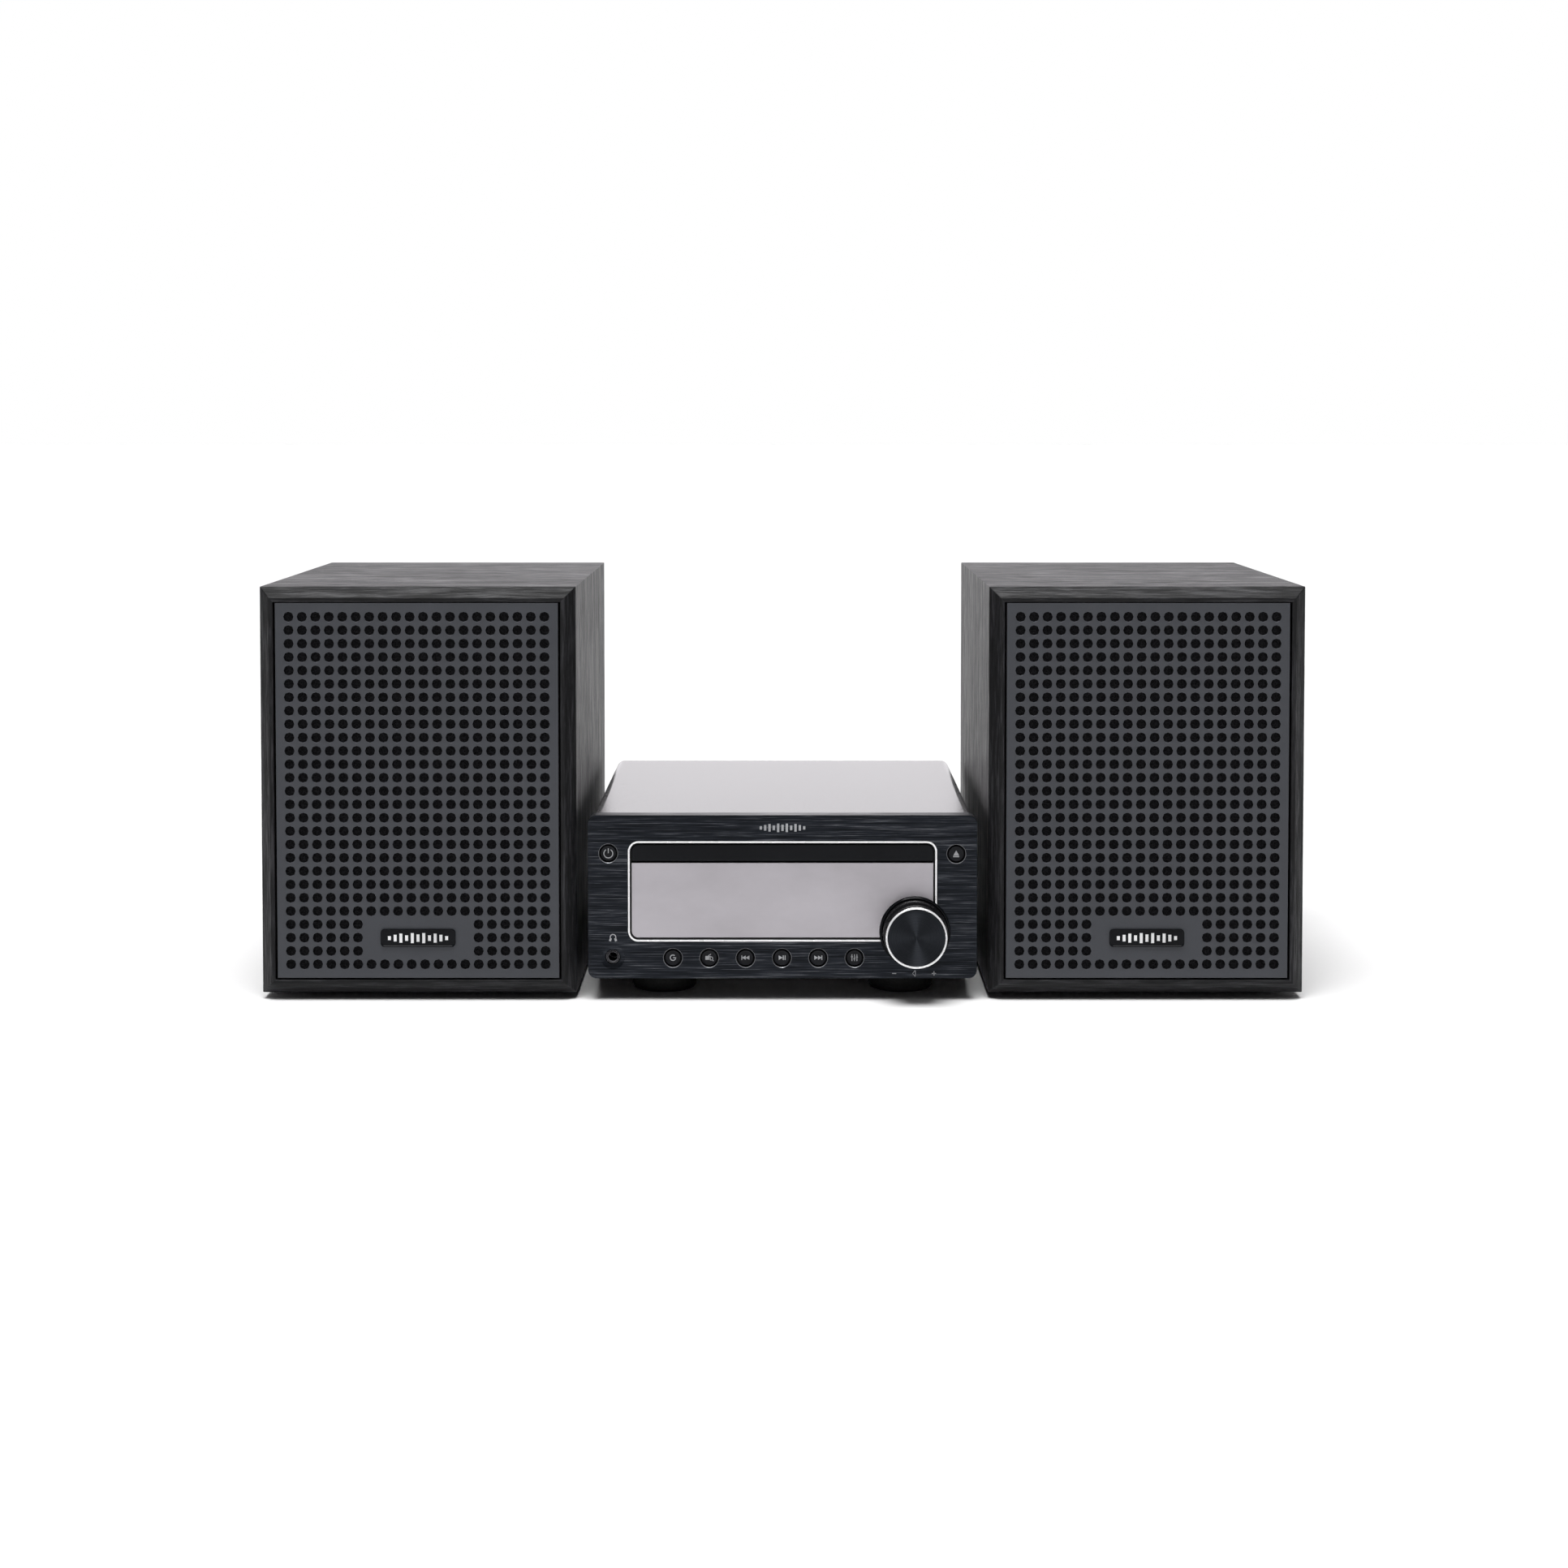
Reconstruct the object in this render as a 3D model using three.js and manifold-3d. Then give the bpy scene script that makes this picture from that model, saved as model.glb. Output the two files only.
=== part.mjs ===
// A mini hifi system: a receiver with a disc drawer, standing between two bookshelf speakers.
// Millimetres. X runs from left to right, Y from front to back and Z up.
// Every unit is drawn with its front face at y = 0 and the surface it stands on at z = 0.
import * as THREE from "three";
import { mergeVertices } from "three/addons/utils/BufferGeometryUtils.js";
import Module from "manifold-3d";

const wasm = await Module();
wasm.setup();

// Driving dimensions

const gap = 0.3; // clearance that neighbouring pieces keep
const frontPlane = -92.6; // where the three front faces stand in the whole system
const speakerCentre = 168.5; // distance from the receiver's middle to a speaker's middle

const receiver = {
  width: 180,
  bottom: 10.5,
  top: 86.5,
  cornerRadius: 4,
  panelDepth: 9,
  faceThickness: 3,
  rim: 2.5,
  coverWidth: 177,
  coverTop: 86.2,
  coverBottom: 11.5,
  coverEnd: 191.5,
  sheet: 1.2,
  bendRadius: 2.5,
};
const baseSheet = { halfWidth: 87, bottom: 12, top: 13, lipTop: 20, front: 9.4, rear: 189.7 };
const frontWindow = { halfWidth: 71.4, bottom: 27.8, top: 74.5, radius: 4.5, band: 1.4 };
const displayTop = 64.4;
const knob = { x: 61.3, z: 32.2, front: -14.8, ringRadius: 14.1, skirtRadius: 15, skirtFront: -6.5 };
const collarRadius = 16.2;
const button = { capRadius: 3.8, holeRadius: 4.4, flangeRadius: 5.4, stemEnd: 6.9, sides: 12 };
const buttonPlaces = {
  power_button: [-80.5, 68.8],
  eject_button: [80.3, 68.5],
  source_button: [-50.7, 20.1],
  tuner_button: [-33.9, 20.1],
  previous_button: [-17.1, 20.1],
  play_pause_button: [-0.3, 20.1],
  next_button: [16.5, 20.1],
  equaliser_button: [33.3, 20.1],
};
const jack = { x: -78.5, z: 20.5, boreRadius: 2.05, noseRadius: 3.2, dishRadius: 5.65 };
const footPlaces = {
  front_left_foot: [-56, 32],
  front_right_foot: [56, 32],
  rear_left_foot: [-56, 160],
  rear_right_foot: [56, 160],
};
const foot = { radius: 15, top: 11.7, spigotRadius: 3 };

const disc = { y: 73, radius: 60.5, seat: 68.9, smallRadius: 40.5, smallSeat: 68.4 };
const tray = { halfWidth: 66, front: 5.3, rear: 160, bottom: 65.3, top: 71.9 };
const pinion = { x: -44, y: 24, teeth: 18, bottom: 62, top: 67.4, boreRadius: 2.3 };
const toothModule = 1;
const pressureAngle = THREE.MathUtils.degToRad(20);
const pitchRadius = (pinion.teeth * toothModule) / 2;
const tipRadius = pitchRadius + toothModule;
const rootRadius = pitchRadius - 1.25 * toothModule;
const toothPlay = 0.12; // taken off each flank of the pinion and of the rack
const loader = { halfWidth: 70, front: 12, rear: 168, bottom: 55, top: 73 };
const laserStart = disc.y + 24;

const inlet = { x: -45, z: 32 };
const antenna = { x: -8, z: 68 };
const phonoRows = { x: [34, 50], z: [59, 73] };
const phonoRadius = 4.15;

const speaker = { halfWidth: 73, bottom: 3, top: 192, depth: 197, wall: 9, chamfer: 5 };
const rebate = { halfWidth: 66.1, bottom: 9.9, top: 185.1 };
const baffle = { front: 10, rear: 19 };
const grille = { halfWidth: 65.2, bottom: 10.7, top: 184.8, depth: 5, sheet: 0.8 };
const peg = { x: 60.5, z: [17, 178], radius: 2.4 };
const woofer = { z: 66, flangeRadius: 51, holeRadius: 43.4 };
const tweeter = { z: 148, flangeRadius: 25, holeRadius: 20.4 };
const port = { z: 150, innerRadius: 15, outerRadius: 17, front: 130 };
const cup = { z: 70, halfWidth: 23, flange: 28, floor: 180 };

// Finishes

const finishes = {
  blackAluminium: { color: 0x17171a, roughness: 0.4, metalness: 0.85 },
  chrome: { color: 0xc9ccd0, roughness: 0.12, metalness: 1 },
  mirrorDisplay: { color: 0xaeb6bd, roughness: 0.08, metalness: 0.8 },
  blackPlastic: { color: 0x111113, roughness: 0.45, metalness: 0 },
  blackMetal: { color: 0x1d1d20, roughness: 0.5, metalness: 0.6 },
  greyPlastic: { color: 0x3a3b3e, roughness: 0.6, metalness: 0 },
  rubber: { color: 0x151515, roughness: 0.85, metalness: 0 },
  zinc: { color: 0x9a9c9e, roughness: 0.45, metalness: 0.9 },
  circuitBoard: { color: 0x2f5a35, roughness: 0.6, metalness: 0 },
  aluminium: { color: 0xb0b2b4, roughness: 0.4, metalness: 0.95 },
  blackAsh: { color: 0x18171a, roughness: 0.55, metalness: 0 },
  foam: { color: 0x0b0b0c, roughness: 1, metalness: 0 },
  paperCone: { color: 0x232326, roughness: 0.85, metalness: 0 },
};

// Solids from three.js geometries

function solidOf(geometry) {
  geometry.deleteAttribute("normal");
  geometry.deleteAttribute("uv");
  const merged = mergeVertices(geometry);
  const points = merged.attributes.position.array;
  const index = merged.index.array;
  const triangles = [];
  for (let i = 0; i < index.length; i += 3) {
    const [a, b, c] = [index[i], index[i + 1], index[i + 2]];
    if (a !== b && b !== c && c !== a) triangles.push(a, b, c);
  }
  if (signedVolume(points, triangles) < 0) triangles.reverse();
  return new wasm.Manifold(new wasm.Mesh({
    numProp: 3,
    vertProperties: new Float32Array(points),
    triVerts: new Uint32Array(triangles),
  }));
}

function signedVolume(points, triangles) {
  const corner = (i) => new THREE.Vector3().fromArray(points, 3 * triangles[i]);
  let volume = 0;
  for (let i = 0; i < triangles.length; i += 3) {
    volume += corner(i).dot(corner(i + 1).cross(corner(i + 2)));
  }
  return volume;
}

function geometryOf(solid) {
  const mesh = solid.getMesh();
  const geometry = new THREE.BufferGeometry();
  geometry.setAttribute("position", new THREE.BufferAttribute(mesh.vertProperties, 3));
  geometry.setIndex(new THREE.BufferAttribute(mesh.triVerts, 1));
  geometry.computeVertexNormals();
  return geometry;
}

const both = (half, centre = 0) => [centre - half, centre + half];
const join = (...solids) => solids.reduce((whole, next) => whole.add(next));
const cut = (base, ...tools) => tools.reduce((rest, tool) => rest.subtract(tool), base);

function block([x0, x1], [y0, y1], [z0, z1]) {
  const geometry = new THREE.BoxGeometry(x1 - x0, y1 - y0, z1 - z0);
  return solidOf(geometry.translate((x0 + x1) / 2, (y0 + y1) / 2, (z0 + z1) / 2));
}

function rodY(x, z, radius, [y0, y1], sides = 20) {
  const geometry = new THREE.CylinderGeometry(radius, radius, y1 - y0, sides);
  return solidOf(geometry.translate(x, (y0 + y1) / 2, z));
}

function rodZ(x, y, radius, [z0, z1], sides = 20) {
  const geometry = new THREE.CylinderGeometry(radius, radius, z1 - z0, sides);
  return solidOf(geometry.rotateX(Math.PI / 2).translate(x, y, (z0 + z1) / 2));
}

// A profile of [radius, height] points turned about Y, or about Z.
function turnedY(profile, sides = 20) {
  const points = profile.map(([radius, y]) => new THREE.Vector2(radius, y));
  return solidOf(new THREE.LatheGeometry(points, sides));
}

function turnedZ(profile, sides = 20) {
  const points = profile.map(([radius, z]) => new THREE.Vector2(radius, z));
  return solidOf(new THREE.LatheGeometry(points, sides).rotateX(Math.PI / 2));
}

// A flat outline in X and Z given a thickness along Y, and one in X and Y given a height.
function plateY(outline, [y0, y1], curveSegments = 2) {
  const geometry = new THREE.ExtrudeGeometry(outline, { depth: y1 - y0, bevelEnabled: false, curveSegments });
  return solidOf(geometry.rotateX(Math.PI / 2).translate(0, y1, 0));
}

function plateZ(outline, [z0, z1], curveSegments = 2) {
  const geometry = new THREE.ExtrudeGeometry(outline, { depth: z1 - z0, bevelEnabled: false, curveSegments });
  return solidOf(geometry.translate(0, 0, z0));
}

function roundedRectangle([x0, x1], [y0, y1], radius) {
  const quarter = Math.PI / 2;
  const outline = new THREE.Shape();
  outline.absarc(x1 - radius, y1 - radius, radius, 0, quarter);
  outline.absarc(x0 + radius, y1 - radius, radius, quarter, 2 * quarter);
  outline.absarc(x0 + radius, y0 + radius, radius, 2 * quarter, 3 * quarter);
  outline.absarc(x1 - radius, y0 + radius, radius, 3 * quarter, 4 * quarter);
  outline.closePath();
  return outline;
}

function part(name, solid, finish, place = [0, 0, 0]) {
  const mesh = new THREE.Mesh(geometryOf(solid), new THREE.MeshStandardMaterial(finishes[finish]));
  mesh.name = name;
  mesh.position.set(...place);
  return mesh;
}

// Receiver front

const collarHole = () => rodY(knob.x, knob.z, collarRadius + gap, [-1, receiver.panelDepth], 32);

function frontPanel() {
  const { width, bottom, top, cornerRadius, panelDepth, faceThickness, rim } = receiver;
  const slab = plateY(roundedRectangle(both(width / 2), [bottom, top], cornerRadius), [0, panelDepth]);
  const pocket = block(both(width / 2 - rim), [faceThickness, panelDepth + 1], [bottom + rim, top - rim]);
  const windowHole = plateY(
    roundedRectangle(
      both(frontWindow.halfWidth + gap),
      [frontWindow.bottom - gap, frontWindow.top + gap],
      frontWindow.radius + gap,
    ),
    [-1, panelDepth],
  );
  const buttonHoles = Object.values(buttonPlaces).map(([x, z]) =>
    rodY(x, z, button.holeRadius, [-1, faceThickness + 1], 16));
  const dishDepth = 1;
  const boreRadius = jack.noseRadius + gap;
  const jackHole = turnedY([
    [0, -1],
    [jack.dishRadius + 1, -1],
    [boreRadius, dishDepth],
    [boreRadius, faceThickness + 1],
    [0, faceThickness + 1],
  ], 16).translate(jack.x, 0, jack.z);
  return cut(slab, pocket, windowHole, collarHole(), jackHole, ...buttonHoles);
}

function windowTrim() {
  const { halfWidth, bottom, top, radius, band } = frontWindow;
  const outer = plateY(roundedRectangle(both(halfWidth), [bottom, top], radius), [-gap, 3.2]);
  const inner = roundedRectangle(both(halfWidth - band), [bottom + band, top - band + 0.1], radius - band);
  return cut(outer, plateY(inner, [-1, 4]), collarHole());
}

// The display glass and the drawer front share the outline of the opening in the trim.
function windowFilling(yRange, zRange) {
  const { halfWidth, bottom, top, radius, band } = frontWindow;
  const edge = band + gap;
  const outline = roundedRectangle(both(halfWidth - edge), [bottom + edge, top - edge + 0.1], radius - edge);
  return plateY(outline, yRange).intersect(block(both(halfWidth), yRange, zRange));
}

function displayLens() {
  return cut(windowFilling([0.6, 2.6], [frontWindow.bottom, displayTop]), collarHole());
}

function displayModule() {
  const frame = block([-64, 42], [4, 11.5], [31, 63]);
  const glassRecess = block([-60, 38], [3, 4.8], [34, 60]);
  const lugs = [-58, 36].map((x) => block(both(3, x), [6, 9], [30.5, 31.5]));
  return join(cut(frame, glassRecess), ...lugs);
}

function knobCollar() {
  const seatRadius = knob.skirtRadius + gap;
  return turnedY([
    [4, 1.2],
    [seatRadius, 1.2],
    [seatRadius, -0.5],
    [collarRadius, -0.5],
    [collarRadius, 3.4],
    [4, 3.4],
    [4, 1.2],
  ], 24);
}

function volumeKnob() {
  const { front, ringRadius, skirtRadius, skirtFront } = knob;
  const wall = 1.8;
  return turnedY([
    [0, front + 0.4],
    [ringRadius - 1.6, front + 0.4],
    [ringRadius - 1.1, front],
    [ringRadius, front + 0.4],
    [ringRadius, skirtFront],
    [skirtRadius, skirtFront + 0.4],
    [skirtRadius, 0.6],
    [skirtRadius - wall, 0.6],
    [skirtRadius - wall, front + 2.6],
    [4.5, front + 2.6],
    [4.5, -1],
    [3.1, -1],
    [3.1, -11],
    [0, -11],
  ], 24);
}

function pushButton() {
  const { capRadius, flangeRadius, stemEnd, sides } = button;
  return turnedY([
    [0, 0.4],
    [capRadius - 0.7, 0.6],
    [capRadius, 1.4],
    [capRadius, 3.4],
    [flangeRadius, 3.4],
    [flangeRadius, 4.4],
    [1.5, 4.4],
    [1.5, stemEnd],
    [0, stemEnd],
  ], sides);
}

// One board carries the push switches and the volume encoder whose shaft the knob sits on.
function controlBoard() {
  const sheet = [10, 11.6];
  const strip = block([-70, 85], sheet, [13.8, 30]);
  const powerWing = block([-86, -68], sheet, [29, 74]);
  const encoderWing = block([46, 85], sheet, [29, 56]);
  const ejectWing = block([70.5, 85], sheet, [55, 74]);
  const switches = Object.values(buttonPlaces).map(([x, z]) =>
    block(both(3, x), [button.stemEnd + 1.1, 10.1], both(3, z)));
  const encoderBody = block(both(6.5, knob.x), [4.5, 10.1], both(6.5, knob.z));
  const bushing = rodY(knob.x, knob.z, 3.6, [0.4, 4.6], 12);
  const shaft = rodY(knob.x, knob.z, 2.8, [-10.4, 0.5], 12);
  return join(strip, powerWing, encoderWing, ejectWing, ...switches, encoderBody, bushing, shaft);
}

function headphoneSocket() {
  const nose = rodY(jack.x, jack.z, jack.noseRadius, [0.9, 3.6], 16);
  const body = block(both(4.5, jack.x), [3.4, 16], both(4.2, jack.z));
  const bore = rodY(jack.x, jack.z, jack.boreRadius, [0, 15], 16);
  return cut(join(nose, body), bore);
}

// Receiver casing

function chassisBase() {
  const { halfWidth, bottom, top, lipTop, front, rear } = baseSheet;
  const pan = block(both(halfWidth), [front, rear], [bottom, top]);
  const lips = [-1, 1].map((side) => block(both(0.5, side * (halfWidth - 0.5)), [front, rear], [bottom, lipTop]));
  const footHoles = Object.values(footPlaces).map(([x, y]) =>
    rodZ(x, y, foot.spigotRadius + gap, [bottom - 1, top + 1], 12));
  const posts = [-52, -14, 8, 52].flatMap((x) =>
    [50, 120].map((y) => rodZ(x, y, 2.5, [top - 0.5, 17.7], 8)));
  return cut(join(pan, ...lips, ...posts), ...footHoles);
}

function topCover() {
  const { coverWidth, coverTop, coverBottom, coverEnd, sheet, bendRadius, panelDepth } = receiver;
  const half = coverWidth / 2;
  const length = [panelDepth + gap, coverEnd];
  const below = coverBottom - 10;
  const outer = plateY(roundedRectangle(both(half), [below, coverTop], bendRadius), length);
  const inner = plateY(
    roundedRectangle(both(half - sheet), [below - 5, coverTop - sheet], bendRadius - sheet),
    [0, coverEnd + 10],
  );
  const openBottom = block(both(half + 1), [0, coverEnd + 10], [below - 1, coverBottom]);
  const vents = [60, 76, 92, 108, 124, 140].flatMap((y) =>
    [-1, 1].map((side) => block(both(4, side * half), both(1.6, y), [30, 62])));
  return cut(outer, inner, openBottom, ...vents);
}

function rearPanel() {
  const faces = [190, 191.2];
  const through = [189, 193];
  const plate = block(both(86.9), faces, [13.4, 84.6]);
  const inletHole = plateY(roundedRectangle(both(10.5, inlet.x), both(5.5, inlet.z), 5.2), through);
  const antennaHole = rodY(antenna.x, antenna.z, 5.1, through, 16);
  const phonoHoles = phonoRows.x.flatMap((x) =>
    phonoRows.z.map((z) => rodY(x, z, phonoRadius + 0.4, through, 14)));
  const vents = [-76, -68, -60, -52, -44, -36, -28].map((x) => block(both(1.5, x), through, [52, 76]));
  return cut(plate, inletHole, antennaHole, ...phonoHoles, ...vents);
}

function rubberFoot() {
  const { radius, top, spigotRadius } = foot;
  return turnedZ([
    [0, 0],
    [radius - 1.5, 0],
    [radius, 1.5],
    [radius, top],
    [spigotRadius, top],
    [spigotRadius, top + 1.9],
    [0, top + 1.9],
  ], 16);
}

function mainsInlet() {
  const body = block(both(12, inlet.x), [174, 189.7], both(7, inlet.z));
  const nose = plateY(roundedRectangle(both(10.2, inlet.x), both(5.2, inlet.z), 5), [189, 192.4]);
  const cavity = plateY(roundedRectangle(both(8.5, inlet.x), both(4.2, inlet.z), 4.1), [179, 194]);
  const pins = [-4.3, 4.3].map((offset) => rodY(inlet.x + offset, inlet.z, 1.15, [178.5, 190], 8));
  return join(cut(join(body, nose), cavity), ...pins);
}

function antennaSocket() {
  return turnedY([
    [0, 184],
    [7, 184],
    [7, 189.7],
    [4.75, 189.7],
    [4.75, 199.4],
    [4, 199.4],
    [4, 190.5],
    [1.2, 190.5],
    [1.2, 198],
    [0, 198],
  ], 16).translate(antenna.x, 0, antenna.z);
}

function phonoSockets() {
  const places = phonoRows.x.flatMap((x) => phonoRows.z.map((z) => [x, z]));
  const body = block([26, 58], [180, 189.7], [51.5, 80.5]);
  const barrels = places.map(([x, z]) => rodY(x, z, phonoRadius, [189, 200], 14));
  const bores = places.map(([x, z]) => rodY(x, z, 1.7, [191, 201], 10));
  return cut(join(body, ...barrels), ...bores);
}

// Receiver electronics

function powerBoard() {
  const board = block([-60, -6], [24, 170], [18, 19.6]);
  const transformer = block([-55, -26], [88, 122], [19, 46]);
  const capacitors = [[-16, 96, 7, 42], [-16, 114, 7, 42], [-44, 64, 5, 34], [-30, 64, 4, 30]]
    .map(([x, y, radius, top]) => rodZ(x, y, radius, [19, top], 12));
  const fuse = block([-54, -34], [146, 154], [19, 28]);
  return join(board, transformer, ...capacitors, fuse);
}

function mainBoard() {
  const board = join(block([-2, 71.5], [24, 155], [18, 19.6]), block([-2, 60], [150, 178], [18, 19.6]));
  const amplifierChip = block([66, 71.5], [84, 104], [19, 38]);
  const tunerCan = block([8, 34], [140, 168], [19, 30]);
  const processor = block([16, 34], [60, 78], [19, 22]);
  const capacitors = [[48, 84], [48, 100], [30, 104]].map(([x, y]) => rodZ(x, y, 5, [19, 36], 12));
  return join(board, amplifierChip, tunerCan, processor, ...capacitors);
}

function heatSink() {
  const fins = 9;
  const pitch = 9;
  const plate = block([72.4, 75.4], [58, 134], [13.3, 60]);
  const blades = Array.from({ length: fins }, (_, i) =>
    block([75, 85.6], both(0.8, 60 + i * pitch), [13.3, 60]));
  return join(plate, ...blades);
}

// Disc drawer

function loaderFrame() {
  const { halfWidth, front, rear, bottom, top } = loader;
  const wall = 3.4;
  const ledge = tray.bottom - 0.4;
  const floor = bottom + 2;
  const outer = block(both(halfWidth), [front, rear], [bottom, top]);
  const passage = block(both(halfWidth - wall), [front - 1, rear - 3], [ledge, top + 1]);
  const well = block(both(halfWidth - wall - 4.6), [front - 1, rear - 3], [floor, ledge + 1]);
  const deckHole = block(both(45), [38, 152], [bottom - 1, floor + 1]);
  const shaftHole = rodZ(-20, 25, 2, [bottom - 1, floor + 1], 8);
  const legs = [17, 163].flatMap((y) =>
    [-66.5, 66.5].map((x) => block(both(2.5, x), both(3, y), [baseSheet.top + gap, bottom + 1])));
  const pinionPost = rodZ(pinion.x, pinion.y, 2, [floor - 0.5, 67.5], 10);
  return join(cut(outer, passage, well, deckHole, shaftHole), ...legs, pinionPost);
}

// Straight rack teeth of the same module as the pinion, on the left wall of the groove.
function rackTeeth(root, heights) {
  const pitch = Math.PI * toothModule;
  const halfAtPitch = pitch / 4 - toothPlay;
  const halfAtTip = halfAtPitch - toothModule * Math.tan(pressureAngle);
  const halfAtRoot = halfAtPitch + 1.25 * toothModule * Math.tan(pressureAngle);
  const tip = root + 2.25 * toothModule;
  const outline = new THREE.Shape();
  const first = pinion.y - 1.5 * pitch;
  const count = 45;
  outline.moveTo(root - 1, first - halfAtRoot);
  for (let i = 0; i < count; i += 1) {
    const middle = first + i * pitch;
    outline.lineTo(root, middle - halfAtRoot);
    outline.lineTo(tip, middle - halfAtTip);
    outline.lineTo(tip, middle + halfAtTip);
    outline.lineTo(root, middle + halfAtRoot);
  }
  outline.lineTo(root - 1, first + (count - 1) * pitch + halfAtRoot);
  outline.closePath();
  return plateZ(outline, heights);
}

function discTray() {
  const { halfWidth, front, rear, bottom, top } = tray;
  const grooveTop = pinion.top + 0.4;
  const rackRoot = pinion.x - tipRadius - 0.25;
  const body = block(both(halfWidth), [front, rear], [bottom, top]);
  const discRecess = rodZ(0, disc.y, disc.radius, [disc.seat, top + 1], 36);
  const smallRecess = rodZ(0, disc.y, disc.smallRadius, [disc.smallSeat, top + 1], 24);
  const laserSlot = block(both(18), [55, 123], [bottom - 1, top + 1]);
  const groove = block([rackRoot, pinion.x + tipRadius + 0.4], [front - 1, rear + 1], [bottom - 1, grooveTop]);
  return join(cut(body, discRecess, smallRecess, laserSlot, groove), rackTeeth(rackRoot, [bottom, grooveTop]));
}

function trayDoor() {
  return windowFilling([0.4, 5], [displayTop + 0.4, frontWindow.top]);
}

// Half the angle that a tooth covers at a radius, from the involute of its base circle.
function halfToothAngle(radius) {
  const involute = (angle) => Math.tan(angle) - angle;
  const baseRadius = pitchRadius * Math.cos(pressureAngle);
  const angleThere = Math.acos(Math.min(1, baseRadius / radius));
  const atPitch = Math.PI / (2 * pinion.teeth) - toothPlay / pitchRadius;
  return atPitch + involute(pressureAngle) - involute(angleThere);
}

function trayPinion() {
  const flank = [rootRadius, pitchRadius, tipRadius];
  const outline = [];
  for (let tooth = 0; tooth < pinion.teeth; tooth += 1) {
    const middle = (2 * Math.PI * tooth) / pinion.teeth;
    const rising = flank.map((radius) => [radius, middle - halfToothAngle(radius)]);
    const falling = flank.map((radius) => [radius, middle + halfToothAngle(radius)]).reverse();
    for (const [radius, angle] of [...rising, ...falling]) {
      outline.push(new THREE.Vector2(radius * Math.cos(angle), radius * Math.sin(angle)));
    }
  }
  const toothed = plateZ(new THREE.Shape(outline), [pinion.bottom, pinion.top]);
  const pulley = rodZ(0, 0, 7.5, [57.5, 60], 12);
  const neck = rodZ(0, 0, 5, [59.5, pinion.bottom + 0.5], 12);
  return cut(join(toothed, pulley, neck), rodZ(0, 0, pinion.boreRadius, [50, 70], 10));
}

function trayMotor() {
  const body = rodZ(0, 0, 7, [36, 54.7], 16);
  const shaft = rodZ(0, 0, 1, [54, 61], 8);
  const pulley = rodZ(0, 0, 4, [57.5, 60], 12);
  return join(body, shaft, pulley);
}

function clampBridge() {
  const bar = block(both(loader.halfWidth), both(13, disc.y), [74.5, 76]);
  const ends = [-68.3, 68.3].map((x) => block(both(1.7, x), both(13, disc.y), [loader.top + gap, 75]));
  const puck = rodZ(0, disc.y, 12, [loader.top + gap, 78], 16);
  return join(bar, ...ends, puck);
}

function sledDeck() {
  const sheet = [50, 52];
  const rail = { x: 18, z: 56, radius: 1.5 };
  const plate = block(both(53), [36, 154], sheet);
  const laserHole = block(both(14), [88, 142], [sheet[0] - 1, sheet[1] + 1]);
  const posts = [-49, 49].flatMap((x) => [42, 148].map((y) => rodZ(x, y, 3, [51, loader.bottom - gap], 8)));
  const motor = rodZ(0, disc.y, 12, [51, 59], 16);
  const shaft = rodZ(0, disc.y, 1, [58, 63], 8);
  const rails = [-1, 1].map((side) => rodY(side * rail.x, rail.z, rail.radius, [85, 147], 8));
  const railEnds = [-1, 1].flatMap((side) =>
    [85.5, 146.5].map((y) => block(both(2.5, side * rail.x), both(1.5, y), [51, 58])));
  return join(cut(plate, laserHole), ...posts, motor, shaft, ...rails, ...railEnds);
}

function spindlePlatter() {
  return turnedZ([
    [0, 64.8],
    [6, 64.8],
    [7.3, 63.5],
    [7.3, 62],
    [14, 62],
    [14, 59.5],
    [1.3, 59.5],
    [1.3, 63.4],
    [0, 63.4],
  ], 16);
}

function laserPickup() {
  const carriage = block(both(12.5), both(7), [53, 60]);
  const arms = block(both(22), both(4), [53.5, 58.5]);
  const lens = rodZ(0, 0, 4, [59.5, 62.5], 12);
  const railHoles = [-18, 18].map((x) => rodY(x, 56, 1.8, [-20, 20], 8));
  return cut(join(carriage, arms, lens), ...railHoles);
}

// Speakers

function cabinet() {
  const { halfWidth, bottom, top, depth, wall, chamfer } = speaker;
  const front = new THREE.Shape([
    new THREE.Vector2(-halfWidth + chamfer, bottom + chamfer),
    new THREE.Vector2(halfWidth - chamfer, bottom + chamfer),
    new THREE.Vector2(halfWidth - chamfer, top - chamfer),
    new THREE.Vector2(-halfWidth + chamfer, top - chamfer),
  ]);
  const bevelled = new THREE.ExtrudeGeometry(front, {
    depth,
    bevelThickness: chamfer,
    bevelSize: chamfer,
    bevelSegments: 1,
  });
  bevelled.rotateX(Math.PI / 2).translate(0, depth + chamfer, 0);
  const shell = solidOf(bevelled).intersect(block(both(halfWidth), [0, depth], [bottom, top]));
  const frontOpening = block(both(rebate.halfWidth), [-1, baffle.rear + 1], [rebate.bottom, rebate.top]);
  const inside = block(both(halfWidth - wall), [baffle.rear, depth - wall], [bottom + wall, top - wall]);
  const portHole = rodY(0, port.z, port.outerRadius + gap, [depth - wall - 1, depth + 1], 16);
  const cupHole = block(
    both(cup.halfWidth + gap),
    [depth - wall - 1, depth + 1],
    both(cup.halfWidth + gap, cup.z),
  );
  return cut(shell, frontOpening, inside, portHole, cupHole);
}

const atPegs = (make) => peg.z.flatMap((z) => [-peg.x, peg.x].map((x) => make(x, z)));

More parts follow.
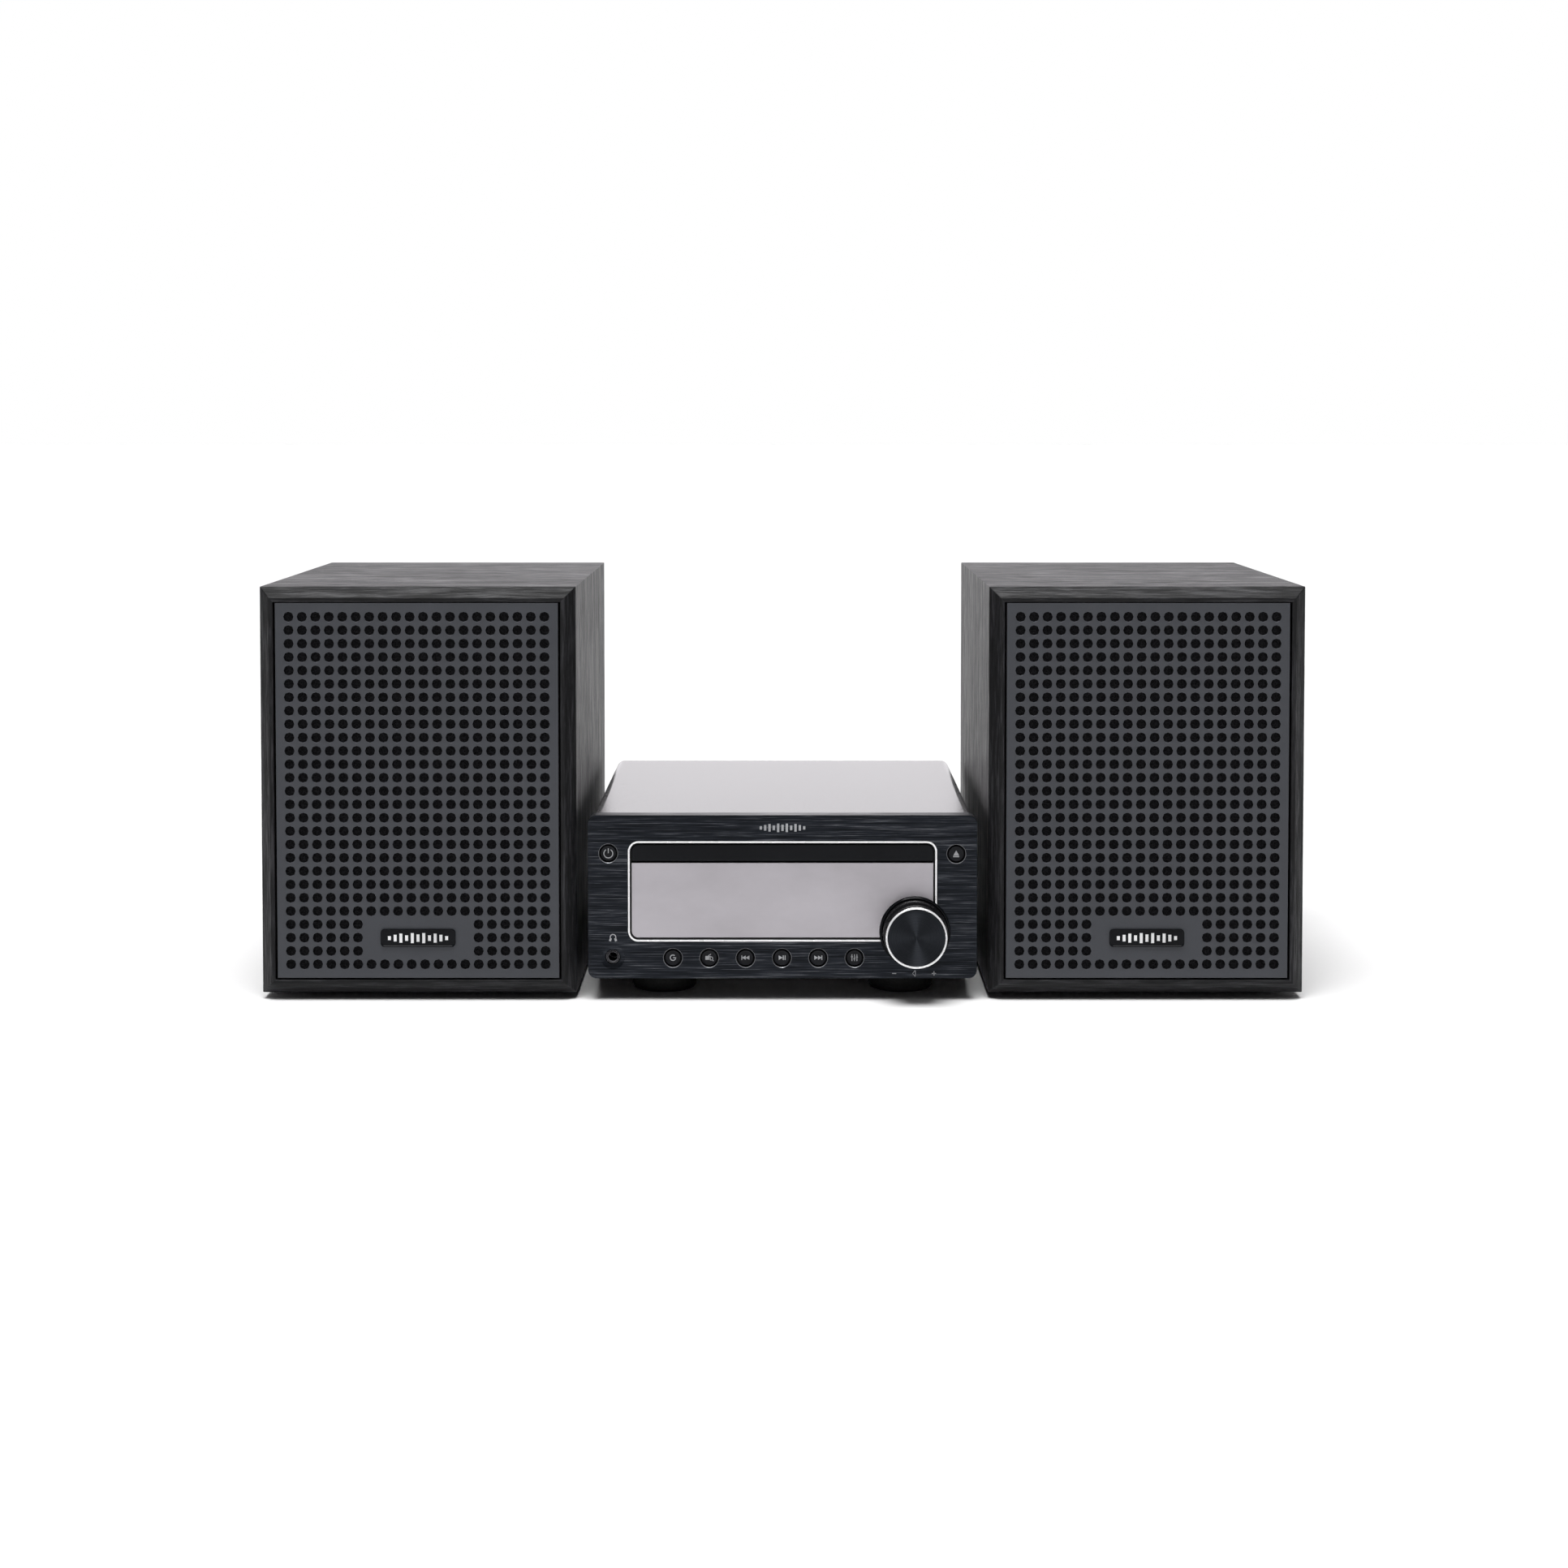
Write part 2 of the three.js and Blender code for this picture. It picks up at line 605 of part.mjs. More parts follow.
function baffleBoard() {
  const faces = [baffle.front, baffle.rear - gap];
  const through = [baffle.front - 1, baffle.rear + 1];
  const board = block(both(rebate.halfWidth - gap), faces, [rebate.bottom + gap, rebate.top - gap]);
  const pegHoles = atPegs((x, z) => rodY(x, z, peg.radius + gap, [0, baffle.front + 5], 8));
  const wooferHole = rodY(0, woofer.z, woofer.holeRadius, through, 18);
  const tweeterHole = rodY(0, tweeter.z, tweeter.holeRadius, through, 16);
  return cut(board, wooferHole, tweeterHole, ...pegHoles);
}

// The grille is a folded metal pan with four push-in pegs behind it.
function grillePan() {
  const { halfWidth, bottom, top, depth, sheet } = grille;
  const pan = plateY(roundedRectangle(both(halfWidth), [bottom, top], 1.5), [0, depth], 1);
  const hollow = block(both(halfWidth - sheet), [sheet, depth + 1], [bottom + sheet, top - sheet]);
  const pegs = atPegs((x, z) => rodY(x, z, peg.radius, [sheet / 2, baffle.front + 4], 8));
  return join(cut(pan, hollow), ...pegs);
}

function grilleFoam() {
  const { halfWidth, bottom, top, depth, sheet } = grille;
  const edge = sheet + gap;
  const sheetOfFoam = block(both(halfWidth - edge), [edge, depth - gap], [bottom + edge, top - edge]);
  return cut(sheetOfFoam, ...atPegs((x, z) => rodY(x, z, peg.radius + 0.5, [0, depth + 1], 8)));
}

function wooferFrame() {
  const { flangeRadius, holeRadius } = woofer;
  const flangeBack = baffle.front - gap;
  return turnedY([
    [0, 44],
    [24, 44],
    [holeRadius - 2, 16],
    [holeRadius - 2, 6.4],
    [flangeRadius, 6.4],
    [flangeRadius, flangeBack],
    [holeRadius - 0.5, flangeBack],
    [holeRadius - 0.5, 17],
    [28, 46],
    [36, 46],
    [36, 64],
    [0, 64],
  ], 18);
}

function wooferCone() {
  const rim = woofer.holeRadius - 2.4;
  return turnedY([
    [0, 17],
    [12, 22],
    [33, 10],
    [37, 7.6],
    [rim, 9],
    [rim, 10.2],
    [33, 11.4],
    [12.6, 25],
    [12.6, 38],
    [11.4, 38],
    [11.4, 23.5],
    [0, 18.5],
  ], 18);
}

function tweeterUnit() {
  const { flangeRadius, holeRadius } = tweeter;
  const flangeBack = baffle.front - gap;
  return turnedY([
    [0, 6.4],
    [7, 7.6],
    [10, 9],
    [13, 9],
    [17, 7],
    [flangeRadius, 7],
    [flangeRadius, flangeBack],
    [holeRadius - 0.4, flangeBack],
    [holeRadius - 0.4, 30],
    [0, 30],
  ], 16);
}

function portTube() {
  const { innerRadius, outerRadius, front } = port;
  const back = speaker.depth;
  return turnedY([
    [innerRadius, front],
    [outerRadius, front],
    [outerRadius, back + gap],
    [22, back + gap],
    [22, back + 1.6],
    [innerRadius + 2, back + 1.6],
    [innerRadius, back - 1],
    [innerRadius, front],
  ], 16);
}

// A recessed cup that holds the phono socket for the lead from the receiver.
function terminalCup() {
  const { halfWidth, flange, floor, z } = cup;
  const back = speaker.depth;
  const wall = 2;
  const shell = block(both(halfWidth), [floor, back + 1], both(halfWidth, z));
  const rim = block(both(flange), [back + gap, back + 1.8], both(flange, z));
  const hollow = block(both(halfWidth - wall), [floor + wall, back + 5], both(halfWidth - wall, z));
  const socket = rodY(0, z, phonoRadius, [floor + 1, floor + 12], 14);
  const bore = rodY(0, z, 1.7, [floor + 3, floor + 13], 10);
  return cut(join(cut(join(shell, rim), hollow), socket), bore);
}

function footStrip() {
  return block(both(60), both(6), [0, speaker.bottom - gap]);
}

// Assembly

function discDrive() {
  const drive = new THREE.Group();
  drive.add(
    part("loader_frame", loaderFrame(), "blackPlastic"),
    part("disc_tray", discTray(), "blackPlastic"),
    part("tray_door", trayDoor(), "blackPlastic"),
    part("tray_pinion", trayPinion(), "greyPlastic", [pinion.x, pinion.y, 0]),
    part("tray_motor", trayMotor(), "zinc", [-20, 25, 0]),
    part("clamp_bridge", clampBridge(), "zinc"),
    part("sled_deck", sledDeck(), "zinc"),
    part("spindle_platter", spindlePlatter(), "greyPlastic", [0, disc.y, 0]),
    part("laser_pickup", laserPickup(), "greyPlastic", [0, laserStart, 0]),
  );
  return drive;
}

function receiverUnit() {
  const unit = new THREE.Group();
  unit.add(
    part("front_panel", frontPanel(), "blackAluminium"),
    part("window_trim", windowTrim(), "chrome"),
    part("display_lens", displayLens(), "mirrorDisplay"),
    part("display_module", displayModule(), "greyPlastic"),
    part("knob_collar", knobCollar(), "blackPlastic", [knob.x, 0, knob.z]),
    part("volume_knob", volumeKnob(), "blackMetal", [knob.x, 0, knob.z]),
    part("control_board", controlBoard(), "circuitBoard"),
    part("headphone_socket", headphoneSocket(), "blackPlastic"),
    part("chassis_base", chassisBase(), "zinc"),
    part("top_cover", topCover(), "blackMetal"),
    part("rear_panel", rearPanel(), "blackMetal"),
    part("main_board", mainBoard(), "circuitBoard"),
    part("power_board", powerBoard(), "circuitBoard"),
    part("heat_sink", heatSink(), "aluminium"),
    part("mains_inlet", mainsInlet(), "blackPlastic"),
    part("antenna_socket", antennaSocket(), "zinc"),
    part("phono_sockets", phonoSockets(), "blackPlastic"),
    discDrive(),
  );
  for (const [name, [x, z]] of Object.entries(buttonPlaces)) {
    unit.add(part(name, pushButton(), "blackPlastic", [x, 0, z]));
  }
  for (const [name, [x, y]] of Object.entries(footPlaces)) {
    unit.add(part(name, rubberFoot(), "rubber", [x, y, 0]));
  }
  return unit;
}

function speakerUnit(side) {
  const unit = new THREE.Group();
  unit.add(
    part(`${side}_cabinet`, cabinet(), "blackAsh"),
    part(`${side}_baffle`, baffleBoard(), "blackPlastic"),
    part(`${side}_grille`, grillePan(), "blackMetal"),
    part(`${side}_grille_foam`, grilleFoam(), "foam"),
    part(`${side}_woofer_frame`, wooferFrame(), "blackMetal", [0, 0, woofer.z]),
    part(`${side}_woofer_cone`, wooferCone(), "paperCone", [0, 0, woofer.z]),
    part(`${side}_tweeter`, tweeterUnit(), "blackPlastic", [0, 0, tweeter.z]),
    part(`${side}_port_tube`, portTube(), "blackPlastic", [0, 0, port.z]),
    part(`${side}_terminal_cup`, terminalCup(), "blackPlastic"),
    part(`${side}_front_foot_strip`, footStrip(), "rubber", [0, 26, 0]),
    part(`${side}_rear_foot_strip`, footStrip(), "rubber", [0, 171, 0]),
  );
  return unit;
}

const system = new THREE.Group();
const left = speakerUnit("left");
const right = speakerUnit("right");
left.position.x = -speakerCentre;
right.position.x = speakerCentre;
system.add(receiverUnit(), left, right);
system.position.y = frontPlane;

export default system;
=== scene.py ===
import bpy
import math
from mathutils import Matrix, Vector


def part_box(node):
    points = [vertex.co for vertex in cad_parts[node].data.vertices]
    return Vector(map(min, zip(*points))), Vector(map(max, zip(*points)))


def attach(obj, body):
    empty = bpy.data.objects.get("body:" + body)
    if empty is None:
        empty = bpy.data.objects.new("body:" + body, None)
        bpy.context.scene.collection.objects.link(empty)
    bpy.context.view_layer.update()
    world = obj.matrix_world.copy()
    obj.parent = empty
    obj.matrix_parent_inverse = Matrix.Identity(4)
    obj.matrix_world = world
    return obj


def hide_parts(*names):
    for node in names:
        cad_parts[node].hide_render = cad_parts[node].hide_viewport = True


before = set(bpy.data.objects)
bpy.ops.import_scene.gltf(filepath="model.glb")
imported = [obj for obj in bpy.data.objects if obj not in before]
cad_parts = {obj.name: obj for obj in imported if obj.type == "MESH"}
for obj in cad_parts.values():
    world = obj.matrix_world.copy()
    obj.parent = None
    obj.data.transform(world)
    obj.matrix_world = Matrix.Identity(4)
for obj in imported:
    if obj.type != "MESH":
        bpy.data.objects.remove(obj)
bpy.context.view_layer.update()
mm = 0.001
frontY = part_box("front_panel")[0].y  # the plane that all three fronts share


# modelling helpers: the ones named edit open edit mode, pull and stretch work in it, the others end outside it
def onlyThis(piece):
    bpy.ops.object.select_all(action="DESELECT")
    piece.select_set(True)
    bpy.context.view_layer.objects.active = piece


def editPart(piece, kind, chosen):  # opens edit mode with the faces or edges that are chosen
    onlyThis(piece)
    mesh = piece.data
    for group in (mesh.vertices, mesh.edges, mesh.polygons):
        group.foreach_set("select", [False] * len(group))
    for item in mesh.polygons if kind == "FACE" else mesh.edges:
        item.select = bool(chosen(item))
    bpy.context.tool_settings.mesh_select_mode = (False, kind == "EDGE", kind == "FACE")
    bpy.ops.object.mode_set(mode="EDIT")


def editFaces(piece, wanted):  # the test gets a face's middle and its normal
    editPart(piece, "FACE", lambda face: wanted(face.center, face.normal))


def editEdges(piece, wanted):  # the test gets an edge's two ends
    points = piece.data.vertices
    editPart(piece, "EDGE", lambda edge: wanted(*(points[i].co for i in edge.vertices)))


def editAll(piece):
    onlyThis(piece)
    bpy.ops.object.mode_set(mode="EDIT")
    bpy.ops.mesh.select_all(action="SELECT")


def faceOutward():  # ends edit mode with every normal outward
    bpy.ops.mesh.select_all(action="SELECT")
    bpy.ops.mesh.normals_make_consistent(inside=False)
    endEdit()


def endEdit():
    bpy.ops.object.mode_set(mode="OBJECT")


def settle(name):  # names the new primitive and puts its place into its mesh
    bpy.ops.object.transform_apply(location=True, rotation=True, scale=True)
    piece = bpy.context.object
    piece.name = name
    return piece


def block(name, low, high):
    low, high = Vector(low), Vector(high)
    bpy.ops.object.select_all(action="DESELECT")
    bpy.ops.mesh.primitive_cube_add(size=1, location=(low + high) / 2)
    bpy.context.object.scale = high - low
    return settle(name)


def around(x, z, halfX, halfZ, y0, y1):  # the two corners of a block that runs from y0 to y1
    return (x - halfX, y0, z - halfZ), (x + halfX, y1, z + halfZ)


def roundedBlock(name, low, high, radius, segments=8, along=1):
    piece = block(name, low, high)
    across = [i for i in range(3) if i != along]
    editEdges(piece, lambda a, b: all(abs(a[i] - b[i]) < 1e-7 for i in across))
    bpy.ops.mesh.bevel(offset=radius, segments=segments, affect="EDGES")
    endEdit()
    return piece


def stretch(values, centre):
    bpy.ops.transform.resize(value=values, center_override=tuple(centre))


def pull(shift):  # extrudes what is selected
    bpy.ops.mesh.extrude_region_move(TRANSFORM_OT_translate={"value": tuple(shift)})


def turned(name, centre, rings, sides=64, along="Y", unit=mm):
    # a round piece grown ring by ring, each ring a radius and a distance along the axis in millimetres
    rings = [(radius * unit, place * unit) for radius, place in rings]
    direction = Vector((0, 1, 0)) if along == "Y" else Vector((0, 0, 1))
    tilt = (math.pi / 2, 0, 0) if along == "Y" else (0, 0, 0)
    centre = Vector(centre)
    radius, place = rings[0]
    bpy.ops.object.select_all(action="DESELECT")
    bpy.ops.mesh.primitive_circle_add(
        vertices=sides, radius=radius, location=centre + direction * place, rotation=tilt)
    piece = settle(name)
    bpy.context.tool_settings.mesh_select_mode = (True, False, False)
    bpy.ops.object.mode_set(mode="EDIT")
    bpy.ops.mesh.select_all(action="SELECT")
    for nextRadius, nextPlace in rings[1:]:
        pull(direction * (nextPlace - place))
        k = nextRadius / radius
        if abs(k - 1) > 1e-6:
            stretch((k, 1, k) if along == "Y" else (k, k, 1), centre + direction * nextPlace)
        radius, place = nextRadius, nextPlace
    if rings[0] == rings[-1]:
        bpy.ops.mesh.select_all(action="SELECT")
        bpy.ops.mesh.remove_doubles(threshold=1e-6)
    else:
        bpy.ops.mesh.edge_face_add()
        bpy.ops.mesh.select_all(action="DESELECT")
        bpy.ops.mesh.select_non_manifold()
        bpy.ops.mesh.edge_face_add()
    faceOutward()
    return piece


def drill(x, y, z, radius, depth, sides=48):  # a cutter for a round hole that runs back from y
    return turned("cutter", (x, y, z), [(radius, 0), (radius, depth)], sides, unit=1)


def applyModifier(piece, kind, **values):
    onlyThis(piece)
    modifier = piece.modifiers.new(kind.lower(), kind)
    for key, value in values.items():
        setattr(modifier, key, value)
    bpy.ops.object.modifier_apply(modifier=modifier.name)


def soften(piece, width, segments=2, angle=35):
    applyModifier(piece, "BEVEL", width=width, segments=segments, limit_method="ANGLE",
                  angle_limit=math.radians(angle), use_clamp_overlap=True)


def cutAway(piece, *cutters):
    for cutter in cutters:
        applyModifier(piece, "BOOLEAN", object=cutter, operation="DIFFERENCE", solver="EXACT")
        bpy.data.objects.remove(cutter)


def joined(main, *others):
    onlyThis(main)
    for other in others:
        other.select_set(True)
    bpy.ops.object.join()
    return main


def dress(piece, *finishes, choose=None):  # choose gives the number of the finish for a face
    piece.data.materials.clear()
    for finish in finishes:
        piece.data.materials.append(finish)
    for face in piece.data.polygons:
        face.material_index = choose(face.center, face.normal) if choose else 0


def place(piece, body, slot, *nodes, angle=35, wear=None):  # smooths a finished piece and hands it to the frame
    if wear:
        dress(piece, wear)
    onlyThis(piece)
    bpy.ops.object.shade_smooth_by_angle(angle=math.radians(angle))
    applyModifier(piece, "WEIGHTED_NORMAL", keep_sharp=True, weight=80)  # broad faces stay flat
    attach(piece, body)
    if nodes:
        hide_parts(*nodes)
    return piece


def middle(node):
    low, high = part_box(node)
    return (low + high) / 2


def span(node):  # its low corner, middle and high corner
    low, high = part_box(node)
    return low, (low + high) / 2, high


def onAxis(node, y):  # the point at that depth on the line through the node's middle
    centre = middle(node)
    return Vector((centre.x, y, centre.z))


def fromAxis(point, centre):
    return math.hypot(point.x - centre.x, point.z - centre.z)


# helpers for the finishes
def startFinish(name, color, roughness, metallic=0.0, **more):
    material = bpy.data.materials.new(name)
    material.use_nodes = True
    tree = material.node_tree
    shader = tree.nodes["Principled BSDF"]
    shader.inputs["Base Color"].default_value = (*color, 1)
    shader.inputs["Roughness"].default_value = roughness
    shader.inputs["Metallic"].default_value = metallic
    for socket, value in more.items():
        shader.inputs[socket.replace("_", " ")].default_value = value
    return material, tree, shader


def addNode(tree, kind, **values):
    node = tree.nodes.new("ShaderNode" + kind)
    for key, value in values.items():
        if key in node.inputs:
            node.inputs[key].default_value = value
        else:
            setattr(node, key, value)
    return node


def spread(tree, scale=(1, 1, 1), shift=(0, 0, 0)):  # object coordinates, scaled for one pattern
    coords = addNode(tree, "TexCoord")
    mapping = addNode(tree, "Mapping", Scale=scale, Location=shift)
    tree.links.new(coords.outputs["Object"], mapping.inputs["Vector"])
    return mapping.outputs["Vector"]


def noise(tree, vector, scale, detail=4, roughness=0.55):
    node = addNode(tree, "TexNoise", Scale=scale, Detail=detail, Roughness=roughness)
    tree.links.new(vector, node.inputs["Vector"])
    return node.outputs["Fac"]


def cellPattern(tree, scale):
    node = addNode(tree, "TexVoronoi", Scale=scale)
    tree.links.new(spread(tree), node.inputs["Vector"])
    return node.outputs["Distance"]


def ramp(tree, source, stops):  # stops of (place, color)
    node = addNode(tree, "ValToRGB")
    points = node.color_ramp.elements
    while len(points) < len(stops):
        points.new(0.5)
    for point, (at, color) in zip(points, stops):
        point.position = at
        point.color = (*color, 1)
    tree.links.new(source, node.inputs["Fac"])
    return node.outputs["Color"]


def between(tree, source, low, high, fromLow=0.3, fromHigh=0.7):
    node = addNode(tree, "MapRange", **{"From Min": fromLow, "From Max": fromHigh, "To Min": low, "To Max": high})
    tree.links.new(source, node.inputs["Value"])
    return node.outputs["Result"]


def relief(tree, shader, source, depth, strength=1.0):
    bump = addNode(tree, "Bump", Strength=strength, Distance=depth)
    tree.links.new(source, bump.inputs["Height"])
    tree.links.new(bump.outputs["Normal"], shader.inputs["Normal"])


def feed(tree, node, **sources):  # links each source to the input of that name
    for socket, source in sources.items():
        tree.links.new(source, node.inputs[socket.replace("_", " ")])


def weighted(tree, source, factor, added):
    node = addNode(tree, "Math", operation="MULTIPLY_ADD")
    tree.links.new(source, node.inputs[0])
    node.inputs[1].default_value = factor
    tree.links.new(added, node.inputs[2])
    return node.outputs[0]


def shade(value, blue=1.0):  # a near-neutral grey
    return (value, value, value * blue)


def ashVinyl(name, grain):  # black ash foil, its grain along one axis
    look = {"dark": 0.0015, "mid": 0.005, "light": 0.028, "pores": 0.3 * mm}
    material, tree, shader = startFinish(name, shade(0.02), 0.5, Specular_IOR_Level=0.26)

    def streaks(across, along, detail, roughness):
        scale = [across] * 3
        scale[grain] = along
        return noise(tree, spread(tree, scale), 1.0, detail, roughness)

    pores = streaks(1150, 75, 5, 0.6)
    bands = streaks(330, 22, 3, 0.5)
    grainHeight = weighted(tree, bands, 0.55, pores)
    color = ramp(tree, grainHeight, [
        (0.58, shade(look["dark"], 1.3)), (0.78, shade(look["mid"], 1.25)), (0.98, shade(look["light"], 1.12))])
    feed(tree, shader, Base_Color=color, Roughness=between(tree, grainHeight, 0.62, 0.34, 0.6, 0.95))
    relief(tree, shader, grainHeight, look["pores"], 1.0)
    return material


def brushedAluminium(name):  # black anodised, hairlines along X
    look = {"dark": (0.007, 0.0085, 0.011), "mid": (0.02, 0.023, 0.03), "line": (0.17, 0.175, 0.19),
            "depth": 0.02 * mm}
    material, tree, shader = startFinish(name, look["mid"], 0.4, 0.8, Anisotropic=0.4, Specular_IOR_Level=0.3)
    lines = noise(tree, spread(tree, (48, 900, 3100)), 1.0, 4, 0.6)
    patches = noise(tree, spread(tree, (9, 60, 260)), 1.0, 3)
    color = ramp(tree, weighted(tree, patches, 0.25, lines), [
        (0.52, look["dark"]), (0.7, look["mid"]), (0.9, look["line"])])
    feed(tree, shader, Base_Color=color, Roughness=between(tree, lines, 0.48, 0.32))
    relief(tree, shader, lines, look["depth"], 0.6)
    return material


def polishedMetal(name, color=(0.82, 0.83, 0.85), roughness=0.1, metallic=1.0):
    material, tree, shader = startFinish(name, color, roughness, metallic)
    smears = noise(tree, spread(tree), 90, 3)
    feed(tree, shader, Roughness=between(tree, smears, roughness * 0.7, roughness * 1.6))
    relief(tree, shader, smears, 0.01 * mm, 0.3)
    return material


def mirrorAcrylic(name):
    material, tree, shader = startFinish(name, (0.6, 0.59, 0.6), 0.4, 0.9)
    clouds = noise(tree, spread(tree, (18, 18, 34)), 1.0, 4, 0.6)
    color = ramp(tree, clouds, [(0.3, (0.45, 0.428, 0.456)), (0.7, (0.55, 0.525, 0.56))])
    feed(tree, shader, Base_Color=color, Roughness=between(tree, clouds, 0.4, 0.46))
    relief(tree, shader, clouds, 0.2 * mm, 0.15)
    return material


def mouldedPlastic(name, color, roughness, texture=900, depth=0.02 * mm, metallic=0.0, specular=0.3, mottle=0.2):
    material, tree, shader = startFinish(name, color, roughness, metallic, Specular_IOR_Level=specular)
    grain = noise(tree, spread(tree), texture, 3)
    patches = noise(tree, spread(tree), 35, 2)
    dark = tuple((1 - mottle) * c for c in color)
    light = tuple((1 + mottle) * c for c in color)
    feed(tree, shader, Base_Color=ramp(tree, patches, [(0.3, dark), (0.7, light)]),
         Roughness=between(tree, grain, roughness * 0.85, min(1, roughness * 1.2)))
    relief(tree, shader, grain, depth, 0.5)
    return material


def spunFace(name, centre):  # fine turned rings about the knob's axis
    material, tree, shader = startFinish(name, (0.03, 0.03, 0.035), 0.56, 1.0, Anisotropic=0.95,
                                         Anisotropic_Rotation=0.25)
    vector = spread(tree, shift=(-centre.x, 0, -centre.z))
    parts = addNode(tree, "SeparateXYZ")
    tree.links.new(vector, parts.inputs[0])
    flat = addNode(tree, "CombineXYZ")
    feed(tree, flat, X=parts.outputs["X"], Z=parts.outputs["Z"])
    radius = addNode(tree, "VectorMath", operation="LENGTH")
    tree.links.new(flat.outputs[0], radius.inputs[0])
    rings = addNode(tree, "TexNoise", noise_dimensions="1D", Scale=5200, Detail=3)
    feed(tree, rings, W=radius.outputs["Value"])
    color = ramp(tree, rings.outputs["Fac"], [(0.35, (0.024, 0.027, 0.032)), (0.7, (0.045, 0.048, 0.056))])
    tangent = addNode(tree, "Tangent", direction_type="RADIAL", axis="Y")
    feed(tree, shader, Base_Color=color, Tangent=tangent.outputs[0])
    relief(tree, shader, rings.outputs["Fac"], 0.012 * mm, 0.5)
    return material


def coverPaint(name):
    material, tree, shader = startFinish(name, (0.03, 0.03, 0.03), 0.26, 0.0, Specular_IOR_Level=0.33)
    speckle = noise(tree, spread(tree), 2600, 2)
    haze = noise(tree, spread(tree, (9, 9, 9)), 1.0, 3)
    color = ramp(tree, haze, [(0.3, (0.024, 0.023, 0.025)), (0.7, (0.034, 0.033, 0.035))])
    feed(tree, shader, Base_Color=color, Roughness=between(tree, speckle, 0.22, 0.3))
    relief(tree, shader, speckle, 0.006 * mm, 0.4)
    return material


def zincSheet(name, color=(0.5, 0.51, 0.52)):
    material, tree, shader = startFinish(name, color, 0.4, 1.0)
    cells = cellPattern(tree, 160)
    spangles = ramp(tree, cells, [(0.0, tuple(0.8 * c for c in color)), (0.8, tuple(1.15 * c for c in color))])
    feed(tree, shader, Base_Color=spangles, Roughness=between(tree, cells, 0.3, 0.5, 0, 0.8))
    relief(tree, shader, cells, 0.01 * mm, 0.3)
    return material


def circuitBoard(name, axis, face):  # green up to the board's face, dark components beyond it
    material, tree, shader = startFinish(name, (0.02, 0.12, 0.05), 0.4)
    coords = spread(tree)
    parts = addNode(tree, "SeparateXYZ")
    tree.links.new(coords, parts.inputs[0])
    above = addNode(tree, "Math", operation="GREATER_THAN" if axis == "Z" else "LESS_THAN")
    tree.links.new(parts.outputs[axis], above.inputs[0])
    above.inputs[1].default_value = face
    tracks = addNode(tree, "TexBrick", Scale=140, offset=0.4, Color1=(0.012, 0.11, 0.045, 1),
                     Color2=(0.016, 0.15, 0.06, 1), Mortar=(0.03, 0.24, 0.1, 1))
    tree.links.new(coords, tracks.inputs["Vector"])
    parted = noise(tree, coords, 60, 2)
    components = ramp(tree, parted, [(0.3, (0.012, 0.012, 0.013)), (0.7, (0.05, 0.05, 0.052))])
    mix = addNode(tree, "Mix", data_type="RGBA")
    tree.links.new(above.outputs[0], mix.inputs["Factor"])
    tree.links.new(tracks.outputs["Color"], mix.inputs[6])
    tree.links.new(components, mix.inputs[7])
    feed(tree, shader, Base_Color=mix.outputs[2])
    relief(tree, shader, tracks.outputs["Fac"], 0.03 * mm, 0.4)
    return material


def openFoam(name):
    material, tree, shader = startFinish(name, (0.006, 0.006, 0.007), 0.9, Specular_IOR_Level=0.1)
    cells = cellPattern(tree, 1500)
    feed(tree, shader, Base_Color=ramp(tree, cells, [(0.1, shade(0.001)), (0.75, shade(0.012, 1.15))]))
    relief(tree, shader, cells, 0.35 * mm, 1.0)
    return material


def pulpCone(name):
    material, tree, shader = startFinish(name, shade(0.02), 0.8)
    fibres = noise(tree, spread(tree), 700, 6, 0.7)
    feed(tree, shader, Base_Color=ramp(tree, fibres, [(0.3, shade(0.012)), (0.75, shade(0.05))]))
    relief(tree, shader, fibres, 0.12 * mm, 0.6)
    return material


